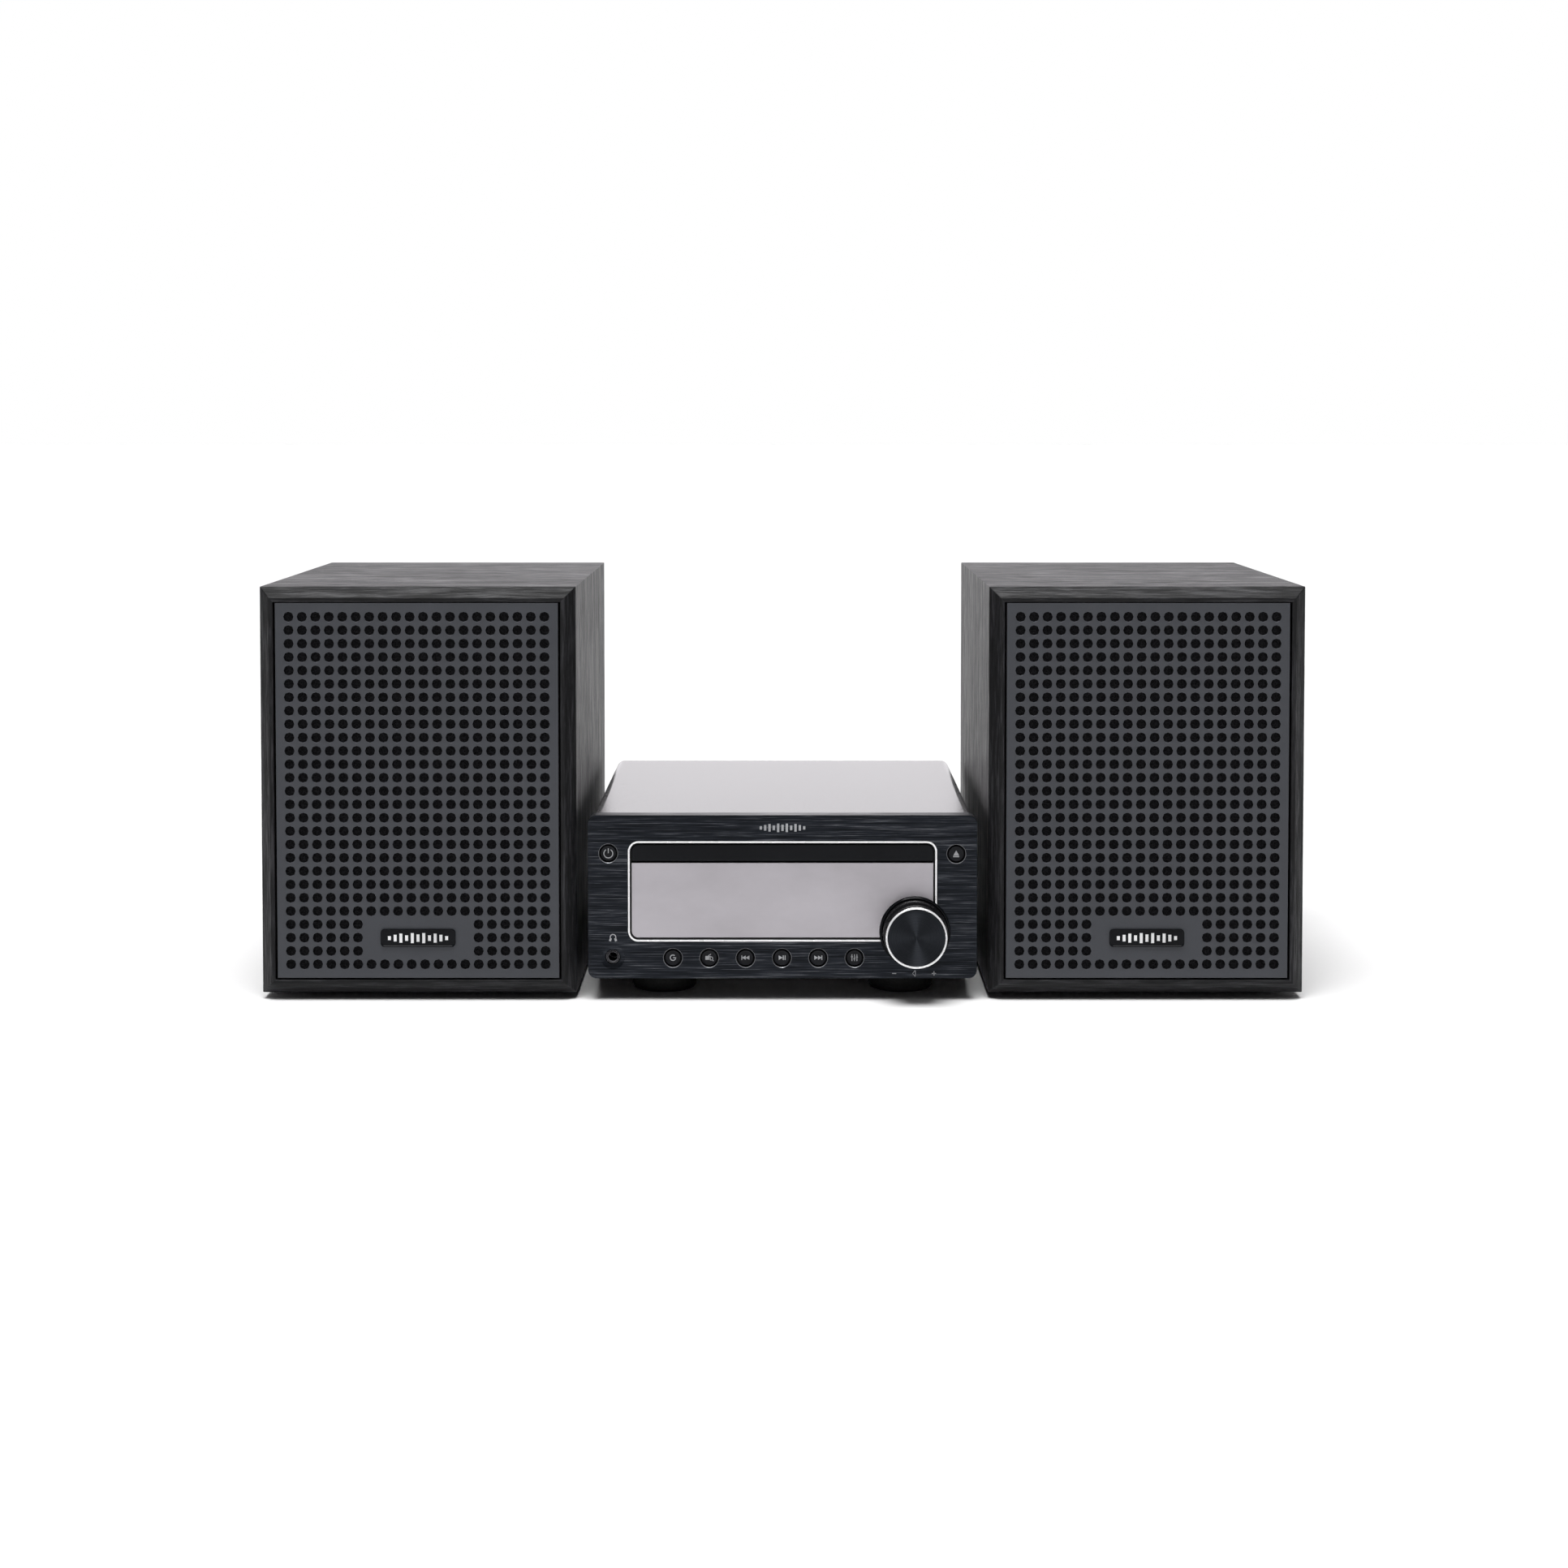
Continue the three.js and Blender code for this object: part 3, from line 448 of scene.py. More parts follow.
finish = {
    "ashAcross": ashVinyl("ashGrainAcross", 0),
    "ashUp": ashVinyl("ashGrainUp", 2),
    "fibreboard": mouldedPlastic("paintedFibreboard", (0.02, 0.019, 0.018), 0.85, 500, 0.1 * mm),
    "fascia": brushedAluminium("brushedBlackFascia"),
    "trim": polishedMetal("polishedTrim", (0.96, 0.96, 0.97), 0.26, 0.3),
    "knobRing": polishedMetal("diamondCutRing", (0.94, 0.94, 0.95), 0.24, 0.35),
    "glass": mirrorAcrylic("mirrorDisplay"),
    "glossBlack": mouldedPlastic("glossBlack", (0.005, 0.0055, 0.007), 0.2, 300, 0.004 * mm, specular=0.1),
    "knobSide": mouldedPlastic("knobSideBlack", (0.006, 0.006, 0.007), 0.26, 500, 0.01 * mm, specular=0.3),
    "button": mouldedPlastic("buttonBlack", (0.008, 0.0085, 0.0105), 0.42, 1500, 0.01 * mm, specular=0.15),
    # a lighter metal for the bevelled mouths of the button holes: a painted chamfer highlight
    "chamferHighlight": polishedMetal("chamferHighlight", (0.24, 0.245, 0.26), 0.45, 0.5),
    "ink": mouldedPlastic("printedGrey", (0.34, 0.345, 0.36), 0.55, 2500, 0.004 * mm),
    "whiteMark": mouldedPlastic("whiteMark", (0.85, 0.85, 0.86), 0.4, 1500, 0.005 * mm),
    "cover": coverPaint("satinCover"),
    "blackPaint": mouldedPlastic("texturedBlackPaint", (0.014, 0.014, 0.015), 0.5, 1400, 0.05 * mm),
    "zinc": zincSheet("zincSheet"),
    "castMetal": zincSheet("extrudedAluminium", (0.62, 0.63, 0.64)),
    "plastic": mouldedPlastic("fineBlackPlastic", (0.014, 0.014, 0.015), 0.48, 1100, 0.03 * mm),
    "greyPlastic": mouldedPlastic("greyPlastic", (0.09, 0.09, 0.1), 0.5),
    "palePlastic": mouldedPlastic("paleAcetal", (0.62, 0.61, 0.56), 0.45),
    "rubber": mouldedPlastic("blackRubber", (0.012, 0.012, 0.012), 0.75, 900, 0.06 * mm),
    "grille": mouldedPlastic("satinGrillePaint", (0.064, 0.067, 0.076), 0.45, 1300, 0.02 * mm, 0.35, 0.3, 0.04),
    "foam": openFoam("openCellFoam"),
    "cone": pulpCone("pressedPulp"),
    "screw": polishedMetal("blackenedScrew", (0.09, 0.09, 0.095), 0.3),
    "brass": polishedMetal("goldPlated", (0.8, 0.58, 0.25), 0.2),
    "redRing": mouldedPlastic("redInsulator", (0.45, 0.015, 0.012), 0.45),
    "whiteRing": mouldedPlastic("whiteInsulator", (0.72, 0.71, 0.68), 0.45),
}
print("materials ready")


# thin printed shapes for faces across Y, their own sizes in millimetres
inkDepth = 0.06 * mm


def markBar(x, y, z, width, height, turn=0.0):
    half = Vector((width * mm, inkDepth, height * mm)) / 2
    piece = block("mark", -half, half)
    piece.rotation_euler = (0, turn, 0)
    piece.location = (x, y, z)
    onlyThis(piece)
    return settle("mark")


def markRing(x, y, z, radius, width, gapAt=0.0, gapAngle=0.0):  # its gap counts in degrees from the top
    inner, outer, half = radius - width / 2, radius + width / 2, inkDepth / mm / 2
    section = [(inner, -half), (outer, -half), (outer, half), (inner, half), (inner, -half)]
    piece = turned("mark", (x, y, z), section, 36)
    if gapAngle:
        toGap = Vector((math.sin(math.radians(gapAt)), math.cos(math.radians(gapAt))))
        editFaces(piece, lambda c, n: toGap.dot(Vector((c.x - x, c.z - z)).normalized())
                  > math.cos(math.radians(gapAngle / 2)))
        bpy.ops.mesh.delete(type="FACE")
        bpy.ops.mesh.select_mode(type="EDGE")
        bpy.ops.mesh.select_non_manifold()
        bpy.ops.mesh.fill_holes(sides=4)
        endEdit()
    return piece


def markTriangle(x, y, z, size, turn):  # turn 0 points to the right, a quarter turn points up
    bpy.ops.object.select_all(action="DESELECT")
    bpy.ops.mesh.primitive_cylinder_add(vertices=3, radius=size * mm, depth=inkDepth, location=(0, 0, 0),
                                        rotation=(math.pi / 2, 0, 0))
    piece = settle("mark")
    piece.rotation_euler = (0, math.pi / 2 - turn, 0)
    piece.location = (x, y, z)
    onlyThis(piece)
    return settle("mark")


def levelMark(width, height):  # an abstract row of level bars in place of lettering
    levels = [0.4, 0.66, 0.9, 0.55, 1.0, 0.74, 1.0, 0.55, 0.9, 0.66, 0.4]
    pitch = width / len(levels)
    return [(markBar, (pitch - width) / 2 + i * pitch, 0, pitch * 0.52, height * level)
            for i, level in enumerate(levels)]


def drawn(parts, x, y, z):  # each part: its kind, its place across and up, then its own sizes, in millimetres
    return [make(x + across * mm, y, z + up * mm, *sizes) for make, across, up, *sizes in parts]


def inked(parts, material):
    for part in parts:
        dress(part, material)
    return parts


# speakers
cabinetLook = {"chamfer": 5 * mm, "lip": 1.9 * mm, "rebate": 20 * mm, "wall": 9 * mm, "edge": 0.35 * mm,
               "portHole": 17.3 * mm, "cupHole": 23.3 * mm}


def makeCabinet(side):
    look = cabinetLook
    low, mid, high = span(f"{side}_cabinet")
    width, height = high.x - low.x, high.z - low.z
    shell = block(f"{side}_cabinetShell", low + Vector((0, look["chamfer"], 0)), high)
    faceCentre = Vector((mid.x, low.y, mid.z))
    editFaces(shell, lambda c, n: n.y < -0.9)
    pull((0, -look["chamfer"], 0))
    stretch(((width - 2 * look["chamfer"]) / width, 1, (height - 2 * look["chamfer"]) / height), faceCentre)
    bpy.ops.mesh.inset(thickness=look["lip"])
    pull((0, look["rebate"], 0))
    bpy.ops.mesh.inset(thickness=look["wall"] - look["chamfer"] - look["lip"])
    pull((0, high.y - low.y - look["rebate"] - look["wall"], 0))
    endEdit()
    soften(shell, look["edge"], 2)
    port = middle(f"{side}_port_tube")
    cup = middle(f"{side}_terminal_cup")
    half, back = look["cupHole"], high.y - 12 * mm
    portHole = drill(port.x, back, port.z, look["portHole"], 14 * mm)
    cupHole = block("cutter", *around(cup.x, cup.z, half, half, back, high.y + 2 * mm))
    cutAway(shell, portHole, cupHole)
    inside = look["chamfer"] + look["lip"] + 0.1 * mm

    def foil(c, n):
        deep = low.x + inside < c.x < high.x - inside and low.z + inside < c.z < high.z - inside
        if deep and c.y < high.y - mm and c.y > low.y + mm:
            return 2
        return 1 if abs(n.x) > abs(n.z) else 0

    dress(shell, finish["ashAcross"], finish["ashUp"], finish["fibreboard"], choose=foil)
    for face in shell.data.polygons:  # the upright lips and the back keep the grain upright
        c, n = face.center, face.normal
        upright = abs(c.x - mid.x) / width > abs(c.z - mid.z) / height
        if n.y < -0.9 and upright and face.material_index != 2 or n.y > 0.9:
            face.material_index = 1 if c.y < low.y + mm or c.y > high.y - mm else 2
    return place(shell, f"{side}_speaker", "black_ash", f"{side}_cabinet")


grilleLook = {"pitch": 6.2 * mm, "hole": 2.32 * mm, "rim": 0.36 * mm, "dimple": 0.2 * mm, "sheet": 0.8 * mm,
              "columns": 20, "rows": 27, "plainColumns": 8, "plainRows": (1, 4), "fold": 0.45 * mm, "wall": 0.8 * mm,
              "depth": 5 * mm}


def pegPlaces(x):  # across and up, for the four pegs of the grille with its middle at x
    return [(x + s * 60.5 * mm, z) for s in (-1, 1) for z in (17 * mm, 178 * mm)]


def makeGrille(side):
    look = grilleLook
    pitch, sheet = look["pitch"], look["sheet"]
    low, mid, high = span(f"{side}_grille")
    depth = look["depth"]
    corner = Vector((mid.x - look["columns"] * pitch / 2, low.y, mid.z - look["rows"] * pitch / 2))
    cell = corner + Vector((pitch / 2, 0, pitch / 2))
    bpy.ops.object.select_all(action="DESELECT")
    bpy.ops.mesh.primitive_plane_add(size=pitch, location=cell, rotation=(math.pi / 2, 0, 0))
    panel = settle(f"{side}_grillePanel")
    editAll(panel)
    bpy.ops.mesh.subdivide(number_cuts=3)
    bpy.ops.mesh.inset(thickness=1.1 * mm)
    bpy.ops.mesh.delete(type="FACE")
    endEdit()
    inner = pitch / 2 - 0.1 * mm

    def ringEdge(a, b):
        return all(abs(p.x - cell.x) < inner and abs(p.z - cell.z) < inner for p in (a, b))

    editEdges(panel, ringEdge)
    bpy.ops.transform.tosphere(value=1.0)
    endEdit()
    ring = [v.co for v in panel.data.vertices if abs(v.co.x - cell.x) < inner and abs(v.co.z - cell.z) < inner]
    radius = sum((p - cell).length for p in ring) / len(ring)
    rimRadius = look["hole"] + look["rim"]
    editEdges(panel, ringEdge)
    stretch((rimRadius / radius, 1, rimRadius / radius), cell)
    endEdit()
    editAll(panel)
    bpy.ops.mesh.duplicate_move(TRANSFORM_OT_translate={"value": (0, sheet, 0)})
    endEdit()
    editEdges(panel, lambda a, b: ringEdge(a, b) and a.y < low.y + sheet / 2)
    pull((0, look["dimple"], 0))
    shrink = look["hole"] / rimRadius
    stretch((shrink, 1, shrink), cell + Vector((0, look["dimple"], 0)))
    pull((0, sheet - look["dimple"], 0))
    stretch((1 / shrink, 1, 1 / shrink), cell + Vector((0, sheet, 0)))
    bpy.ops.mesh.select_all(action="SELECT")
    bpy.ops.mesh.remove_doubles(threshold=1e-6)
    endEdit()
    for count, shift in ((look["columns"], (pitch, 0, 0)), (look["rows"], (0, 0, pitch))):
        applyModifier(panel, "ARRAY", count=count, use_relative_offset=False, use_constant_offset=True,
                      constant_offset_displace=shift, use_merge_vertices=True, merge_threshold=0.01 * mm)

    plainHalf = look["plainColumns"] * pitch / 2
    plainLow, plainHigh = (corner.z + row * pitch for row in look["plainRows"])
    editFaces(panel, lambda c, n: abs(c.x - mid.x) < plainHalf and plainLow < c.z < plainHigh)
    bpy.ops.mesh.delete(type="FACE")
    endEdit()
    slack = 0.05 * mm
    for y in (low.y, low.y + sheet):
        editEdges(panel, lambda a, b: all(
            abs(p.y - y) < slack and abs(p.x - mid.x) < plainHalf + slack
            and plainLow - slack < p.z < plainHigh + slack
            and (abs(abs(p.x - mid.x) - plainHalf) < slack or min(abs(p.z - plainLow), abs(p.z - plainHigh)) < slack)
            for p in (a, b)))
        bpy.ops.mesh.edge_face_add()
        endEdit()

    halfWidth, halfHeight = look["columns"] * pitch / 2, look["rows"] * pitch / 2
    outerX, outerZ = high.x - mid.x, high.z - mid.z

    def onRim(y):
        return lambda a, b: all(
            abs(p.y - y) < slack and (abs(abs(p.x - mid.x) - halfWidth) < slack
                                      or abs(abs(p.z - mid.z) - halfHeight) < slack) for p in (a, b)) and (
            abs(a.x - b.x) < slack and abs(abs(a.x - mid.x) - halfWidth) < slack
            or abs(a.z - b.z) < slack and abs(abs(a.z - mid.z) - halfHeight) < slack)

    fold, wall = look["fold"], look["wall"]
    steps = [(fold, 0), (fold * 0.3, fold * 0.3), (0, fold), (0, depth), (wall, depth), (wall, sheet)]
    editEdges(panel, onRim(low.y))
    sizeX, sizeZ, y = halfWidth, halfHeight, 0
    for inward, back in steps:
        pull((0, back - y, 0))
        stretch(((outerX - inward) / sizeX, 1, (outerZ - inward) / sizeZ), (mid.x, low.y + back, mid.z))
        sizeX, sizeZ, y = outerX - inward, outerZ - inward, back
    endEdit()
    editEdges(panel, onRim(low.y + sheet))
    pull((0, 0, 0))
    stretch(((outerX - wall) / halfWidth, 1, (outerZ - wall) / halfHeight), (mid.x, low.y + sheet, mid.z))
    bpy.ops.mesh.select_all(action="SELECT")
    bpy.ops.mesh.remove_doubles(threshold=0.005 * mm)
    bpy.ops.mesh.normals_make_consistent(inside=False)
    endEdit()
    pegs = [turned("peg", (x, low.y, z), [(2.4, 3), (2.4, 12.6), (2.0, 13.6), (1.2, 14)], 20)
            for x, z in pegPlaces(mid.x)]
    dress(panel, finish["grille"])
    joined(panel, *inked(pegs, finish["plastic"]))
    return place(panel, f"{side}_grille_set", "grille_metal", f"{side}_grille", angle=30)


foamLook = {"step": 1.15 * mm, "cells": 0.55 * mm, "roughness": 0.5 * mm}


def makeFoam(side):
    low, mid, high = span(f"{side}_grille_foam")
    bpy.ops.object.select_all(action="DESELECT")
    bpy.ops.mesh.primitive_grid_add(
        x_subdivisions=round((high.x - low.x) / foamLook["step"]),
        y_subdivisions=round((high.z - low.z) / foamLook["step"]),
        size=1, location=(mid.x, low.y, mid.z), rotation=(math.pi / 2, 0, 0))
    bpy.context.object.scale = (high.x - low.x, high.z - low.z, 1)
    foam = settle(f"{side}_foamSheet")
    cells = bpy.data.textures.new("foamCells", "CLOUDS")
    cells.noise_scale = foamLook["cells"]
    applyModifier(foam, "DISPLACE", texture=cells, direction="Y", strength=foamLook["roughness"], mid_level=0.2)
    onlyThis(foam)
    bpy.context.tool_settings.mesh_select_mode = (False, True, False)
    bpy.ops.object.mode_set(mode="EDIT")
    bpy.ops.mesh.select_all(action="DESELECT")
    bpy.ops.mesh.select_non_manifold()
    pull((0, high.y - low.y, 0))
    stretch((1, 0, 1), (mid.x, high.y - 0.2 * mm, mid.z))
    bpy.ops.mesh.edge_face_add()
    faceOutward()
    place(foam, f"{side}_grille_set", "grille_foam", f"{side}_grille_foam", angle=80, wear=finish["foam"])
    return foam


badgeLook = {"width": 34.6 * mm, "height": 8.3 * mm, "radius": 1.8 * mm, "proud": 0.9 * mm, "centre": 29.5 * mm,
             "rim": 0.45 * mm, "slope": 0.2 * mm, "sunk": 0.3 * mm, "bars": (34.6 * 0.84, 8.3 * 0.56)}


def makeBadge(side):
    look = badgeLook
    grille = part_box(f"{side}_grille")
    x = (grille[0].x + grille[1].x) / 2
    z = look["centre"]
    half = Vector((look["width"] / 2, 0, look["height"] / 2))
    base = Vector((x, grille[0].y, z))
    plaque = roundedBlock(f"{side}_badge", base - half - Vector((0, look["proud"], 0)),
                          base + half - Vector((0, 0.02 * mm, 0)), look["radius"])
    editFaces(plaque, lambda c, n: n.y < -0.9)
    bpy.ops.mesh.inset(thickness=look["rim"])
    bpy.ops.mesh.inset(thickness=look["slope"], depth=-look["sunk"])
    endEdit()
    soften(plaque, 0.14 * mm, 2, 50)
    dress(plaque, finish["glossBlack"])
    faceY = base.y - look["proud"] + look["sunk"]
    bars = drawn(levelMark(*look["bars"]), x, faceY - inkDepth / 2, z)
    joined(plaque, *inked(bars, finish["whiteMark"]))
    return place(plaque, f"{side}_grille_set", "gloss_black")


def makeScrew(name, centre, radius, facing=1):  # a pan head with a cross recess, facing +Y or -Y
    s = facing
    rings = [(radius * 0.3, s * radius * 0.55), (radius * 0.75, s * radius * 0.45), (radius, s * radius * 0.15),
             (radius, -s * radius * 0.5)]
    screw = turned(name, centre, rings, 20, unit=1)
    arm, slotWidth = radius * 0.55, radius * 0.18
    top = Vector(centre) + Vector((0, s * radius * 0.6, 0))
    for a, b in ((arm, slotWidth), (slotWidth, arm)):
        cutAway(screw, block("cutter", top - Vector((a, radius * 0.35, b)), top + Vector((a, radius * 0.35, b))))
    dress(screw, finish["screw"])
    return screw


baffleLook = {"woofer": 43.4 * mm, "tweeter": 20.4 * mm, "peg": 2.7 * mm, "past": 5 * mm}


def makeBaffle(side):
    look = baffleLook
    low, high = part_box(f"{side}_baffle")
    woofer, tweeter = middle(f"{side}_woofer_frame"), middle(f"{side}_tweeter")
    board = block(f"{side}_baffleBoard", low, high)
    soften(board, 0.5 * mm)

    def hole(x, z, radius):
        return drill(x, low.y - look["past"], z, radius, high.y - low.y + 2 * look["past"])

    pegHoles = [hole(x, z, look["peg"]) for x, z in pegPlaces(woofer.x)]
    cutAway(board, hole(woofer.x, woofer.z, look["woofer"]), hole(tweeter.x, tweeter.z, look["tweeter"]), *pegHoles)
    return place(board, f"{side}_speaker", "matte_black", f"{side}_baffle", wear=finish["fibreboard"])


def makeWoofer(side):
    centre = onAxis(f"{side}_woofer_frame", frontY)
    basket = turned(f"{side}_wooferBasket", centre, [
        (3, 44), (24, 44), (30, 36), (41, 16), (41, 8.4), (41.6, 7.6), (43, 7.6), (43.4, 6.9), (49.6, 6.5), (51, 7.2),
        (51, 9.7), (42.9, 9.7), (42.9, 17), (28, 46), (36, 46), (36.6, 47), (36.6, 63), (36, 64), (3, 64)], 64)
    dress(basket, finish["blackPaint"], finish["zinc"], choose=lambda c, n: int(c.y > frontY + 45.5 * mm))
    screws = []
    for k in range(4):
        angle = math.radians(45 + 90 * k)
        at = centre + Vector((math.cos(angle) * 47.2 * mm, 6.7 * mm, math.sin(angle) * 47.2 * mm))
        screws.append(makeScrew("screw", at, 2.2 * mm, -1))
    joined(basket, *screws)
    place(basket, f"{side}_speaker", "black_steel", f"{side}_woofer_frame")
    coneRings = [(0.4, 15.4), (4, 15.7), (8, 16.8), (11.6, 18.9), (12.3, 20.6), (14, 20.2), (24, 14.8), (32.4, 10.9),
                 (33.2, 10), (34, 8.4), (35.4, 7.4), (37, 7.05), (38.6, 7.5), (39.8, 8.6), (40.6, 9.2),
                 (40.6, 10), (39, 9.6), (37, 8.2), (35.4, 8.7), (34, 11.6), (24, 16.4), (12.8, 23), (12.6, 38),
                 (11.8, 38), (11.8, 22), (8, 18), (0.4, 16.6)]
    cone = turned(f"{side}_wooferCone", centre, coneRings, 64)
    dress(cone, finish["cone"], finish["rubber"], choose=lambda c, n: int(fromAxis(c, centre) > 32.6 * mm))
    place(cone, f"{side}_cone", "paper_cone", f"{side}_woofer_cone", angle=40)


def makeTweeter(side):
    centre = onAxis(f"{side}_tweeter", frontY)
    rings = [(0.3, 6.6), (3, 6.75), (6, 7.3), (8.4, 8.3), (9.6, 9.4), (10.4, 8.9), (11.6, 9.1), (13, 9.3), (16, 8.2),
             (18.2, 7.3), (19.4, 7), (24.4, 7), (25, 7.5), (25, 9.7), (20, 9.7), (20, 29.4), (19.4, 30), (0.3, 30)]
    unit = turned(f"{side}_tweeterUnit", centre, rings, 56)
    dress(unit, finish["plastic"], finish["cone"],
          choose=lambda c, n: int(fromAxis(c, centre) < 9.6 * mm and c.y < centre.y + 12 * mm))
    screws = [makeScrew("screw", centre + Vector((s * 22 * mm, 6.9 * mm, 0)), 1.7 * mm, -1) for s in (-1, 1)]
    joined(unit, *screws)
    return place(unit, f"{side}_speaker", "matte_black", f"{side}_tweeter")


def makePort(side):
    low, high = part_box(f"{side}_port_tube")
    centre = onAxis(f"{side}_port_tube", low.y)
    long = (high.y - low.y) / mm
    rings = [(15, 0), (17, 0), (17, long - 1.3), (22, long - 1.3), (22, long - 0.7), (21.4, long), (18.6, long),
             (17, long - 0.5), (15.8, long - 1.8), (15.1, long - 4), (15, long - 7), (15, 0)]
    tube = turned(f"{side}_portTube", centre, rings, 56)
    return place(tube, f"{side}_speaker", "matte_black", f"{side}_port_tube", wear=finish["plastic"])


def phonoJack(name, x, y, z, insulator):  # a phono socket that stands out towards +Y from y
    sleeve = turned(name, (x, y, z), [
        (3.5, -2), (4.15, -2), (4.15, 8.6), (3.95, 8.8), (3.5, 8.8), (3.5, -2)], 32)
    dress(sleeve, finish["zinc"])
    core = turned("core", (x, y, z), [
        (1.6, -1), (3.4, -1), (3.4, 8), (3.2, 8.2), (1.7, 8.2), (1.6, 8.1), (1.6, -1)], 28)
    dress(core, insulator)
    return joined(sleeve, core)


def makeTerminalCup(side):
    low, mid, high = span(f"{side}_terminal_cup")
    rimBack = high.y
    inner, flange = 23 * mm, high.x - mid.x
    cup = block(f"{side}_terminalCup", *around(mid.x, mid.z, inner, inner, low.y, rimBack - 1.5 * mm))
    editFaces(cup, lambda c, n: n.y > 0.9)
    pull((0, 0, 0))
    stretch((flange / inner, 1, flange / inner), (mid.x, rimBack - 1.5 * mm, mid.z))
    pull((0, 1.5 * mm, 0))
    bpy.ops.mesh.inset(thickness=flange - 21 * mm)
    pull((0, -(rimBack - low.y - 2 * mm), 0))
    stretch((0.94, 1, 0.94), (mid.x, low.y, mid.z))
    endEdit()
    soften(cup, 0.5 * mm, 3)
    dress(cup, finish["plastic"])
    jack = phonoJack("jack", mid.x, low.y + 3.2 * mm, mid.z, finish["redRing"])
    corner = flange - 3.4 * mm
    screws = [makeScrew("screw", (mid.x + a * corner, rimBack - 0.3 * mm, mid.z + b * corner), 1.9 * mm)
              for a in (-1, 1) for b in (-1, 1)]
    joined(cup, jack, *screws)
    return place(cup, f"{side}_speaker", "matte_black", f"{side}_terminal_cup")


def makeFootStrips(side):
    for end in ("front", "rear"):
        node = f"{side}_{end}_foot_strip"
        low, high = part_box(node)
        strip = roundedBlock(f"{side}_{end}FootStrip", low, high + Vector((0, 0, 0.28 * mm)), 3 * mm, 6, 2)
        soften(strip, 0.4 * mm)
        place(strip, f"{side}_speaker", "foot_rubber", node, wear=finish["rubber"])


for side in ("left", "right"):
    for make in (makeCabinet, makeGrille, makeFoam, makeBadge, makeBaffle, makeWoofer, makeTweeter, makePort,
                 makeTerminalCup, makeFootStrips):
        make(side)
    print(side, "speaker ready")


# receiver: fascia, trim and window
knobMid = middle("volume_knob")
windowLook = {"round": 4.8 * mm, "bright": 0.82 * mm, "band": 1.4 * mm, "play": 0.25 * mm, "step": 1.1 * mm,
              "collar": 16.4 * mm, "doorGap": 0.35 * mm}


def collarCutter():
    return drill(knobMid.x, frontY - 4 * mm, knobMid.z, windowLook["collar"], 16 * mm, 72)


def outlineBlock(name, y0, y1, shrink):  # the window's rounded outline, drawn in by some distance
    low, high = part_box("window_trim")
    return roundedBlock(name, (low.x + shrink, y0, low.z + shrink), (high.x - shrink, y1, high.z - shrink),
                        windowLook["round"] - shrink, 10)


fasciaLook = {"corner": 4 * mm, "edge": 0.4 * mm, "face": 3 * mm, "rim": 2.5 * mm, "hole": 4.35 * mm, "flare": 0.2 * mm}
buttonNames = ["power_button", "eject_button", "source_button", "tuner_button", "previous_button",
               "play_pause_button", "next_button", "equaliser_button"]

headphonesIcon = [(markRing, 0, 0, 1.28, 0.44, 180, 110), (markBar, -1.22, -1.15, 0.95, 1.45, 0.3),
                  (markBar, 1.22, -1.15, 0.95, 1.45, -0.3)]
volumeMarks = [(markBar, -9.2, 0, 1.9, 0.44), (markBar, 9.2, 0, 2, 0.44), (markBar, 9.2, 0, 0.44, 2),
               (markBar, -0.1, -0.72, 1.85, 0.3, 0.9), (markBar, -0.1, 0.72, 1.85, 0.3, -0.9),
               (markBar, 0.6, 0, 0.3, 2.7)]  # minus, plus and the loudspeaker cone between them


def flaredHole(x, z, radius, flare, depth):  # a round hole with a bevelled mouth
    return turned("cutter", (x, frontY, z), [
        (radius + 1.5 * flare, -0.5 * flare), (radius, flare), (radius, depth)], 48, unit=1)


def makeFascia():
    look = fasciaLook
    low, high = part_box("front_panel")
    panel = roundedBlock("fascia", low, high, look["corner"], 10)
    soften(panel, look["edge"], 2)
    pocket = block("cutter", (low.x + look["rim"], low.y + look["face"], low.z + look["rim"]),
                   (high.x - look["rim"], high.y + mm, high.z - look["rim"]))
    opening = outlineBlock("cutter", low.y - mm, high.y + mm, -windowLook["play"])
    cutAway(panel, pocket, opening, collarCutter())
    centres = [middle(name) for name in buttonNames]
    for centre in centres:
        cutAway(panel, flaredHole(centre.x, centre.z, look["hole"], look["flare"], 5 * mm))
    jack = middle("headphone_socket")
    dish = turned("cutter", (jack.x, frontY, jack.z), [
        (6.3, -0.3), (5.6, 0.05), (4.9, 0.3), (3.9, 0.5), (3.55, 0.55), (3.55, 5)], 48)
    cutAway(panel, dish)

    def paintedHighlightFaces(c, n):  # the bevelled mouths of the button holes, given a lighter metal than the fascia as a painted chamfer highlight
        bevelled = low.y + 0.01 * mm < c.y < low.y + look["flare"] and 0.2 < -n.y < 0.95
        return int(bevelled and any(fromAxis(c, m) < 6 * mm for m in centres))

    dress(panel, finish["fascia"], finish["chamferHighlight"], choose=paintedHighlightFaces)
    y = low.y - inkDepth / 2
    marks = drawn(levelMark(22, 3.9), 0, y, 80.7 * mm)
    marks += drawn(headphonesIcon, jack.x + 0.1 * mm, y, jack.z + 9.3 * mm)
    marks += drawn(volumeMarks, knobMid.x - 0.4 * mm, y, 12.9 * mm)
    joined(panel, *inked(marks, finish["ink"]))
    return place(panel, "receiver", "black_aluminium", "front_panel", angle=30)


